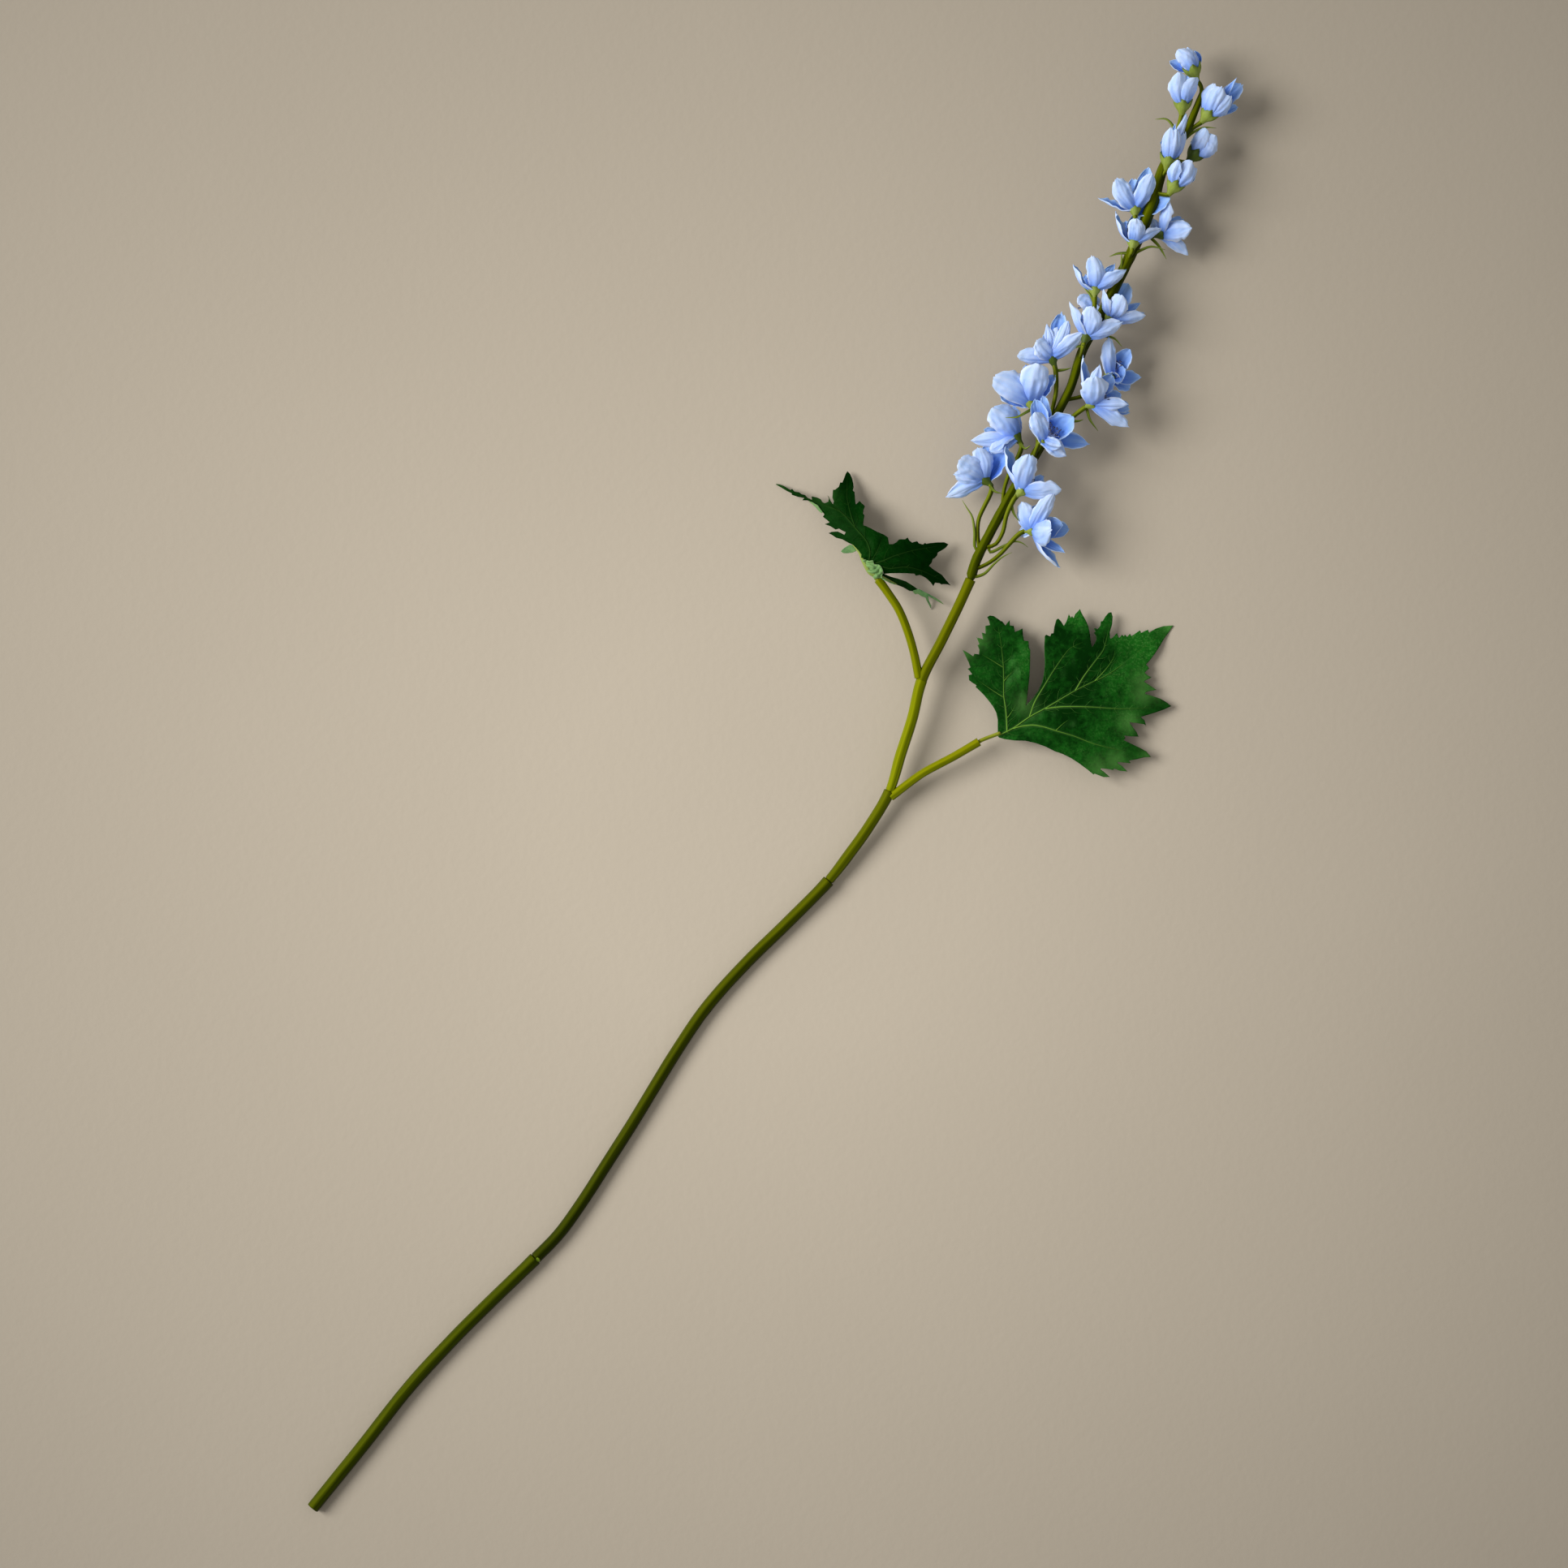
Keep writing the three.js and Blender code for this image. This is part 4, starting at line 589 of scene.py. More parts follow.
     (141.0, 225.4, 12, 8.3, -90, 0, 0.12), (149.8, 221.3, 11, 6.7, -95, 0, 0.1),
     (149.5, 225.3, 8, 6.7, -90, 0.1, 0.08), (143.5, 218.2, 7, 7.1, 90, 0.1, 0.1),
     (145.5, 223.3, 5, 7.1, 90, 0.1, 0.1)]),
]


def flower_frame(place, heading, lift):
    """The foot of a flower's cup, the way it faces, and the directions up from it and beside it."""
    turn, rise = math.radians(heading), math.radians(lift)
    axis = Vector((math.cos(rise) * math.cos(turn), math.cos(rise) * math.sin(turn), math.sin(rise)))
    top = (Vector((0, 0, 1)) - axis * axis.z).normalized()
    return spot(*place), axis, top, axis.cross(top)


# The places that each flower's stalk passes through on its way from the axis to its cup.
STALKS = [
    [(197.9, 318.8, 19.6), (197.5, 322.4, 19.6)],
    [(184.6, 293.4, 19.4), (186.0, 298.4, 20), (187.1, 303.3, 21)],
    [(189.0, 298.0, 19.6), (191.4, 301.0, 19.4), (194.2, 303.3, 19)],
    [(177.9, 279.0, 19.4), (179.8, 280.9, 20.6)],
    [(183.6, 288.8, 19.0), (187.6, 287.9, 15.8)],
    [(176.3, 273.5, 19.4), (178.8, 272.0, 22)],
    [(170.2, 254.0, 19), (168.6, 257.6, 20.6)],
    [(163.9, 242.2, 19.4), (164.6, 243.7, 21.8)],
    [(168.6, 253.2, 18.8), (171.7, 252.7, 16.6)],
    [(147.0, 206.7, 18.8), (147.6, 213.0, 21.4), (147.9, 218.3, 23.5)],
    [(148.6, 209.9, 18.8), (150.6, 209.5, 19.6)],
    [(141.6, 196.2, 18.4), (142.0, 198.4, 22.5)],
    [(125.4, 160.2, 17.4), (128.4, 171.6, 18.6), (130.2, 181.1, 20.4)],
    [(120.5, 152.6, 17.4), (122.0, 161.6, 16.8), (121.2, 166.9, 17.6)],
    [(137.0, 175.4, 17.6), (143.1, 178.8, 13.6), (148.4, 182.6, 11.4)],
    [(129.2, 161.2, 17.6), (133.7, 165.0, 19.4), (138.1, 168.7, 20.8)],
    [(119.8, 149.0, 17.4), (120.6, 152.4, 21.6)],
    [(106.4, 125.4, 16.4), (106.1, 134.5, 15.2), (109.2, 143.9, 14.2), (112.9, 150.8, 14)],
    [(95.7, 105.9, 15.6), (93.9, 113.5, 14), (94.4, 121.1, 13), (97.1, 127.5, 12.6),
     (99.7, 132.9, 12.6)],
    [(98.1, 106.6, 16), (101.7, 109.2, 17.8), (105.4, 114.9, 20), (107.0, 122.5, 22),
     (109.2, 127.8, 23.4)],
    [(93.2, 97.3, 15.8), (98.8, 100.7, 16), (104.2, 104.8, 16.6), (108.3, 109.3, 17.2),
     (111.7, 113.1, 17.6)],
    [(153.4, 220.8, 18.4), (153.6, 217.9, 11.4)],
]
# The same for the whiskers, each from its foot to its tip.
BRACTS = [
    [(92.8, 107.5, 15.4), (92.4, 115.5, 14.8), (91.2, 122.7, 13.8), (88.9, 126.5, 13), (86.7, 130.3, 12)],
    [(99.5, 105.9, 16), (106.4, 108.9, 16.6), (110.9, 110.8, 17), (114.3, 110.2, 16.8), (117.3, 108.1, 16)],
    [(92.6, 94.4, 15.8), (96.9, 95.8, 16), (101.5, 100.4, 16.2), (105.7, 103.8, 16.6), (109.8, 105.7, 17)],
    [(109.3, 128.6, 23.4), (110.4, 123.7, 22), (113.1, 119.9, 21)],
    [(99.6, 137.2, 13.4), (101.8, 134.2, 15.4), (105.7, 133.0, 15.6)],
    [(113.8, 156.6, 16.6), (115.9, 153.9, 18.4), (118.4, 155.4, 19.6)],
    [(119.4, 172.2, 22), (115.6, 170.2, 24.6), (111.9, 168.3, 25), (106.4, 168.0, 24)],
    [(144.0, 173.0, 21), (145.8, 167.4, 21), (149.7, 162.0, 20)],
    [(136.0, 166.9, 20.2), (139.9, 166.6, 20.2), (143.0, 167.4, 20)],
    [(148.9, 207.2, 18.8), (153.3, 206.1, 19), (157.1, 205.3, 18.6), (161.0, 201.3, 17.6)],
    [(142.4, 201.0, 24.6), (140.0, 201.0, 24.6), (137.4, 200.0, 23)],
    [(164.4, 244.6, 19.6), (159.0, 244.6, 19.6), (154.8, 243.1, 19)],
    [(165.8, 244.2, 20), (169.8, 246.2, 20.4), (174.4, 247.8, 20), (181.0, 246.4, 19)],
    [(174.4, 252.4, 16), (178.0, 248.6, 16), (181.8, 242.4, 15)],
    [(185.0, 299.0, 20.2), (184.6, 303.4, 20.4), (181.4, 307.0, 20.2), (176.2, 307.0, 19.6)],
    [(189.2, 297.4, 19.6), (193.8, 301.0, 18.4), (199.2, 303.4, 17.6), (204.8, 303.2, 17.4)],
    [(148.0, 219.8, 24), (146.2, 224.6, 23.4), (142.6, 229.0, 22)],
    [(129.8, 190.0, 21.6), (133.6, 190.4, 20.6), (137.4, 191.4, 19.6)],
    [(160.8, 236.6, 19.6), (160.6, 241.6, 21.4), (160.4, 244.8, 21.2)],
]
AXIS_LINE = smooth_line([
    (90.6, 93.2, 15.2), (92.9, 101.4, 15.6), (102.6, 120.4, 16.5), (111.7, 137.0, 17.0),
    (120.4, 150.5, 17.0), (130.6, 169.8, 17.5), (136.7, 181.9, 18.0), (142.3, 198.9, 18.0),
    (148.7, 211.7, 18.5), (155.9, 225.7, 18.5), (165.6, 245.6, 19.0), (175.8, 270.1, 19.0),
    (180.0, 284.4, 19.5), (190.5, 301.1, 20.0), (198.9, 321.0, 20.0),
])
AXIS_WIDTHS = [4.3, 4.3, 4.1, 3.9, 3.9, 4.3, 5.0, 5.0, 3.9, 2.4]


def rough_rib(angle, distance):
    """The axis has six uneven ribs and small swellings."""
    rib = 0.12 * math.cos(6 * angle + 1.5 * math.sin(distance * 0.05))
    knob = 0.1 * noise.noise(Vector((1.6 * math.cos(angle), 1.6 * math.sin(angle), distance * 0.22)))
    return 1 + rib + knob


AXIS_STEPS = 150
axis_reach = length_of(AXIS_LINE)
axis_stations = [(-1.5, 1.3), (0.0, 1.3), (0.4, 1.5)]
for k in range(1, AXIS_STEPS):
    share = k / AXIS_STEPS
    width = np.interp(share * (len(AXIS_WIDTHS) - 1), range(len(AXIS_WIDTHS)), AXIS_WIDTHS)
    axis_stations.append((0.6 + (axis_reach - 0.6) * share, width / 2))
axis_stations += [(axis_reach - 0.15, 0.9), (axis_reach, 0.75)]
moulding = [rod("axis", AXIS_LINE, axis_stations, 24, rough_rib)]
axis_green = stem_plastic("axis_green", (84, 94, 2), (98, 106, 4), 30, far=0.3)
moulding[0].data.materials.append(axis_green)


def three_ribbed(angle, distance):
    """A flower's stalk has three faint ribs, which wind round it."""
    return 1 + 0.06 * math.cos(3 * angle + distance * 0.2)


STALK_HALF = 0.92
STALK_STEPS = 14
INTO_CUP = 1.2  # how far a stalk runs up into its cup
stalk_points = list(AXIS_LINE)
stalk_green = stem_plastic("stalk_green", (98, 106, 6), (126, 136, 34), 3)
for flower, route in zip(FLOWERS, STALKS):
    foot, axis, *_ = flower_frame(*flower[:3])
    start = min(AXIS_LINE, key=lambda p: (p - spot(*route[0])).length)
    row = smooth_line([on_plan(start), *route[1:], flower[0], on_plan(foot + axis * INTO_CUP * MM)])
    length = length_of(row)

    def flared(share):
        """A stalk's half width grows towards both of its ends."""
        return STALK_HALF + 0.36 * (1 - min(1, length * share / 3.2)) ** 2 + 0.3 * share**2

    stalk = rod("stalk", row, stepped(length, STALK_STEPS, flared), 12, three_ribbed)
    stalk.data.materials.append(stalk_green)
    moulding.append(stalk)
    stalk_points += row[:-STEPS]


def flattened(angle, distance):
    """A whisker is a little wider than it is thick."""
    return 0.8 + 0.3 * abs(math.cos(angle))


BRACT_HALF = 0.62
BRACT_STEPS = 16
bract_green = stem_plastic("bract_green", (108, 122, 24), (146, 162, 80), 2, far=0.6)
for route in BRACTS:
    # A whisker starts within whichever axis or stalk is nearest to its foot.
    start = min(stalk_points, key=lambda p: (p - spot(*route[0])).length)
    row = smooth_line([on_plan(start), *route])
    stations = stepped(length_of(row), BRACT_STEPS, lambda share: BRACT_HALF * (1 - share**2.2) + 0.07)
    bract = rod("bract", row, stations, 8, flattened)
    bract.data.materials.append(bract_green)
    moulding.append(bract)

# A cup's outside, its inside, and its rim: height and half width at a tooth, then between two.
BUD_CUP = (
    [(-0.6, 0.95), (0.1, 1.3), (1.2, 1.62), (2.2, 2.2), (3.2, 3.1), (4.2, 3.75), (5.0, 4.1)],
    [(4.4, 3.6), (2.9, 1.0)], (7.8, 4.75, 5.0, 4.15),
)
OPEN_CUP = (
    [(-0.4, 0.82), (0.2, 1.08), (1.2, 1.22), (2.2, 1.6), (3.1, 2.25), (3.9, 2.7), (4.6, 2.95)],
    [(4.2, 2.55), (2.8, 0.8)], (5.1, 3.08, 4.75, 2.98),
)


def turned_cup(flower):
    """A cup under a flower: its outside from the stalk to the rim, then its inside."""
    foot, axis, top, side = flower_frame(*flower[:3])
    profile = BUD_CUP if flower[3] == "bud" else OPEN_CUP
    outside, inside, (tooth_high, tooth_wide, gap_high, gap_wide) = profile
    rows = outside + ["rim", "lip"] + inside
    cup = blank("cup", 40, len(rows) - 1)
    for vertex in cup.data.vertices:
        share = vertex.co.x + 0.5
        angle = 2 * math.pi * share
        row = rows[round((vertex.co.y + 0.5) * (len(rows) - 1))]
        tooth = abs(((share * 5) % 1) * 2 - 1) ** 1.25
        if row in ("rim", "lip"):
            high = tooth_high * tooth + gap_high * (1 - tooth)
            wide = tooth_wide * tooth + gap_wide * (1 - tooth)
            if row == "lip":
                high, wide = high - 0.05, wide - 0.42
        else:
            high, wide = row
        out = wide * MM * (1 + 0.03 * math.cos(5 * angle) * min(1, high / 3))
        vertex.co = (foot + axis * (high * MM) + top * (out * math.cos(angle))
                     + side * (out * math.sin(angle)))
    close_up(cup)
    return cup


def ramped(tree, share, *stops):
    """A row of colours over a share. Each stop is a place and a colour."""
    ramp = add_node(tree, "ShaderNodeValToRGB", in_Fac=share)
    first, *between, last = stops
    for element, (place, tint) in zip(ramp.color_ramp.elements, (first, last)):
        element.position = place
        element.color = colour(*tint)
    for place, tint in between:
        ramp.color_ramp.elements.new(place).color = colour(*tint)
    return ramp.outputs["Color"]


def cup_plastic(name, foot_green, middle_green, rim_green):
    """Satin plastic of a cup, streaked from its foot to its rim."""
    material, tree, shader = new_material(name, 0.5, Specular_IOR_Level=0.3)
    green = ramped(tree, mapped(tree)[2], (0, foot_green), (0.4, middle_green), (0.75, rim_green))
    deeper = mixed(tree, green, (0.68, 0.74, 0.5, 1), blend_type="MULTIPLY")
    streaked = add_node(tree, "ShaderNodeGroup", node_tree=STREAKS, in_Light=green, in_Dark=deeper,
                        in_Stretch=(14, 3, 0)).outputs
    coat(tree, shader, streaked["Color"], relief(tree, streaked["Streak"], 0.4, 0.0003))
    return material


pale_cup = cup_plastic("pale_cup", (118, 130, 30), (146, 162, 72), (104, 124, 34))
deep_cup = cup_plastic("deep_cup", (62, 78, 8), (78, 98, 22), (62, 84, 14))
# These cups are given the deeper green copy of the cup plastic.
DEEP_CUPS = (4, 8, 11, 12, 17, 18, 21)
for number, flower in enumerate(FLOWERS):
    cup = turned_cup(flower)
    cup.data.materials.append(deep_cup if number in DEEP_CUPS else pale_cup)
    moulding.append(cup)
spike = join("spike_moulding", moulding)
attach(spike, "root")
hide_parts("spike_axis")


# Petals: fine woven cloth, stamped and pressed hot into spoons, five to a flower and more in the
# double ones. They are pale blue outside, deeper inside towards the foot, and lightest at the rim.
def petal_tint():
    """Node group: the colour along and across a petal's own map, with painted shade in the low parts of its
    folds, and the height of its folds.
    """
    group, given, made = new_group(
        "petal_tint", [(label, "Color") for label in ("Foot", "Middle", "End", "Rim")],
        (("Color", "Color"), ("Height", "Float")))
    own_map, across, along = mapped(group)
    lower = mixed(group, given["Foot"], given["Middle"], ranged(group, along, 0.0, 0.45))
    whole = mixed(group, lower, given["End"], ranged(group, along, 0.4, 0.95))
    from_middle = worked_out(group, "ABSOLUTE", worked_out(group, "MULTIPLY_ADD", across, 2.0, -1.0))
    rim = ranged(group, from_middle, 0.7, 1.0, interpolation_type="SMOOTHSTEP")
    rimmed = mixed(group, whole, given["Rim"], rim)
    # No two petals have the same folds, as each lies in another place.
    place = add_node(group, "ShaderNodeTexCoord").outputs["Object"]
    apart = add_node(group, "ShaderNodeVectorMath", operation="SCALE", in_0=place, in_Scale=45.0)
    stretched = moved(group, "MULTIPLY_ADD", own_map, (4.4, 0.8, 0), apart.outputs["Vector"])
    fold_height_and_painted_shade = ranged(group, grained(group, stretched, 1.0, 1.2, 0.4)["Fac"], 0.34, 0.6)
    # Painted shade: the low parts of the folds are coloured a deeper blue.
    deeper = mixed(group, rimmed, (0.78, 0.86, 0.98, 1), blend_type="MULTIPLY")
    group.links.new(mixed(group, deeper, rimmed, fold_height_and_painted_shade), made["Color"])
    group.links.new(fold_height_and_painted_shade, made["Height"])
    return group


PETAL_TINT = petal_tint()


def petal_side(name, foot, middle, end, rim):
    """Matt cloth for one side of the petals."""
    material, tree, shader = new_material(
        name, 0.75, Specular_IOR_Level=0.25, Sheen_Weight=0.08, Sheen_Roughness=0.4,
        Subsurface_Weight=0.15, Subsurface_Scale=0.002, Subsurface_Radius=(0.4, 0.7, 1.0),
        Specular_Tint=colour(190, 212, 255))
    tint = add_node(tree, "ShaderNodeGroup", node_tree=PETAL_TINT, in_Foot=colour(*foot),
                    in_Middle=colour(*middle), in_End=colour(*end), in_Rim=colour(*rim)).outputs
    place = add_node(tree, "ShaderNodeTexCoord").outputs["Object"]
    weave = relief(tree, grained(tree, place, 2600.0)["Fac"], 0.1, 0.0001)
    folds = relief(tree, tint["Height"], 0.45, 0.0005)
    tree.links.new(folds.outputs["Normal"], weave.inputs["Normal"])
    coat(tree, shader, tint["Color"], weave)
    return material


petal_inside = petal_side(
    "petal_inside", (36, 80, 188), (106, 150, 238), (166, 200, 252), (190, 216, 254))
petal_outside = petal_side(
    "petal_outside", (86, 132, 228), (178, 203, 255), (198, 219, 255), (212, 228, 255))


PETAL_ACROSS, PETAL_ALONG = 14, 17
petal_blank = blank("petal_blank", PETAL_ACROSS, PETAL_ALONG)
WIDEST = 0.56  # how far along a petal it is widest, as a share of its length


def petal_width(share, point):
    """Half width along a petal, as a share of its widest. A higher "point" gives a sharper tip."""
    if share < WIDEST:
        return 0.6 + 0.4 * math.sin(math.pi * share / WIDEST / 2) ** 0.9
    past = min(1, (share - WIDEST) / (1 - WIDEST))
    blunt = 0.34 * max(0, 1 - point)
    return max(blunt, (1 - past ** (2.3 - 0.4 * point)) ** (0.4 + 0.66 * point))


CUP_HEIGHT = 5
BUD_MOUTH, OPEN_MOUTH = 2.6, 1.7  # how far from the middle of the cup a petal's foot stands
INTO_MOUTH = 0.7


def pressed_petal(number, slot):
    """One cloth petal, bent like a spoon from the cup's mouth to its tip."""
    place, heading, lift, kind, petals = FLOWERS[number]
    tip_x, tip_y, tip_z, width, facing, point, bow = petals[slot]
    foot, axis, *_ = flower_frame(place, heading, lift)
    mouth = foot + axis * (CUP_HEIGHT * MM)
    tip = spot(tip_x, tip_y, tip_z)
    turned = math.radians(facing)

    def hollow_side(along):
        """The way the petal's hollow side faces, square to its length."""
        left = Vector((-along.y, along.x, 0)).normalized()
        return left * math.cos(turned) + along.cross(left) * math.sin(turned)

    toward = hollow_side((tip - mouth).normalized())
    outward = axis * toward.dot(axis) - toward
    aside = BUD_MOUTH if kind == "bud" else OPEN_MOUTH
    root = mouth + (outward * aside - axis * INTO_MOUTH) * MM
    along = (tip - root).normalized()
    length = (tip - root).length
    hollow = hollow_side(along)
    across = along.cross(hollow)
    seed = Vector((number * 7.3, slot * 3.1, 0.0))
    draw = noise.noise(seed + Vector((0.5, 0.5, 0.5)))
    skew = 0.28 * noise.noise(seed + Vector((0.2, 0.7, 9.1)))
    large = min(1, width / 12) ** 1.5
    petal = petal_blank.copy()
    petal.data = petal_blank.data.copy()
    scene.collection.objects.link(petal)
    for vertex in petal.data.vertices:
        s = 2 * vertex.co.x
        t = 1 - (1 - (vertex.co.y + 0.5)) ** 1.35
        end = max(0, t) ** 6
        share = -0.05 + 1.05 * t + end * (0.07 * noise.noise(seed + Vector((3.2 * s, 0, 15))) - 0.06 * s * s)
        sag = 4 * bow * share * (1 - share)
        slope = -4 * bow * (1 - 2 * share)
        normal = (hollow - along * slope).normalized()
        ragged = 1 + 0.12 * abs(s) * noise.noise(seed + Vector((2 * s, 3.5 * t, 6)))
        ragged += 0.24 * s**4 * noise.noise(seed + Vector((3 * s, 8.5 * t, 2)))
        reach = width / 2 * petal_width(max(0, share), point) * ragged
        # Pressed folds and sharp creases run up the petal, and its rim waves and is crimped.
        middle = math.sin(math.pi * min(1, t))
        fold = (0.15 + 0.35 * abs(draw)) * math.sin((6 + 6 * draw) * s + 20 * draw + 1.5 * t) * middle
        wave = 1.4 * abs(s) ** 3 * noise.noise(seed + Vector((s, 4.2 * t, 0))) * min(1, 3 * t)
        pleat = noise.noise(seed + Vector((3.4 * s, 1.1 * t, 4)))
        crimp = 1.5 * large * s**4 * noise.noise(seed + Vector((1.5 * s, 8.5 * t, 3))) * min(1, 4 * t)
        crimp += 0.7 * large * end * noise.noise(seed + Vector((3.6 * s, 2 * t, 8)))
        line = abs(noise.noise(seed + Vector((3.9 * s + 0.8 * t, 1.5 * t, 11))))
        crease = (0.4 - 1.3 * abs(pleat) - 0.85 * max(0, 1 - line / 0.11)) * middle * large
        # The open flowers' petals are pressed deeper within a flat border.
        border = 0
        if kind != "bud":
            border = 0.5 * min(1, max(0, (max(abs(s), 2.1 * t - 1.15) - 0.6) / 0.16))
        groove = -0.3 * math.exp(-((s / 0.16) ** 2)) * (1 - t)
        cup = (0.5 * s * s + 0.12 * s**6) * reach
        vertex.co = (root + along * (share * length) - hollow * (sag * length)
                     + across * ((s * reach * (1 - 0.07 * s * s) + skew * width * middle) * MM)
                     + normal * ((cup + fold + wave + crease + crimp + groove - border) * MM))
    return petal


def thicken(piece, thickness, levels=0):
    """Gives a sheet its thickness, smooths it by so many levels, and applies both."""
    pick(piece)
    solid = piece.modifiers.new("thickness", "SOLIDIFY")
    solid.thickness = thickness * MM
    solid.offset = 0
    solid.material_offset = 1
    bpy.ops.object.modifier_apply(modifier="thickness")
    if levels:
        smooth = piece.modifiers.new("smooth", "SUBSURF")
        smooth.levels = levels
        smooth.render_levels = levels
        bpy.ops.object.modifier_apply(modifier="smooth")
    shade_smooth(piece)


PETAL_THICKNESS = 0.26
for number, flower in enumerate(FLOWERS):
    petals = [pressed_petal(number, slot) for slot in range(len(flower[4]))]
    bloom = join(f"petals_{number + 1:02d}", petals)
    bloom.data.materials.append(petal_inside)
    bloom.data.materials.append(petal_outside)
    thicken(bloom, PETAL_THICKNESS, 1)
    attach(bloom, "root")
    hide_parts(f"bloom_{number + 1:02d}")
bpy.data.objects.remove(petal_blank)

# Stamens: a tuft of blue-grey plastic threads on a small knob in each open flower, dipped in dark
# purple at their tips.
stamen_plastic, tree, shader = new_material("stamen_plastic", 0.55, Specular_IOR_Level=0.4)
dipped = ramped(tree, mapped(tree)[2], (0, (104, 122, 168)), (0.62, (96, 108, 150)), (0.8, (48, 32, 50)))
tree.links.new(dipped, shader.inputs["Base Color"])
knob_plastic, tree, shader = new_material("knob_plastic", 0.6)
mottle = grained(tree, add_node(tree, "ShaderNodeTexCoord").outputs["Object"], 900.0)["Fac"]
mottled = mixed(tree, colour(84, 100, 150), colour(120, 140, 190), mottle)
tree.links.new(mottled, shader.inputs["Base Color"])

THREADS = 21
THREAD_PROFILE = ((0, 0.17), (0.4, 0.15), (0.8, 0.14), (0.86, 0.28), (0.93, 0.34), (0.98, 0.24), (1, 0.08))
draws = random.Random(5)
for number, flower in enumerate(FLOWERS):
    if flower[3] == "bud":
        continue
    foot, axis, top, side = flower_frame(*flower[:3])
    base = on_plan(foot)
    knob_row = smooth_line([base + axis * d for d in (4.0, 6.0, 8.0, 9.6)])
    knob = rod("knob", knob_row, [(0, 1.2), (2.4, 1.5), (3.2, 1.45), (4.6, 0.95), (5.3, 0.3)], 12)
    knob.data.materials.append(knob_plastic)
    tuft = [knob]
    for k in range(THREADS):
        angle = 2 * math.pi * (k + draws.uniform(-0.3, 0.3)) / THREADS
        out = top * math.cos(angle) + side * math.sin(angle)
        lean = draws.uniform(0.28, 0.62)
        height = draws.uniform(4.6, 6.6)
        root = base + axis * 6.4 + out * 0.6
        bend = root + axis * (height * 0.5) + out * (lean * height * 0.4)
        tip = root + axis * (height * 0.92) + out * (lean * height)
        row = smooth_line([root, bend, tip])
        length = length_of(row)
        thread = rod("thread", row, [(length * s, r) for s, r in THREAD_PROFILE], 6)
        thread.data.materials.append(stamen_plastic)
        tuft.append(thread)
    stamens = join(f"tuft_{number + 1:02d}", tuft)
    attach(stamens, "root")
    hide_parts(f"stamens_{number + 1:02d}")


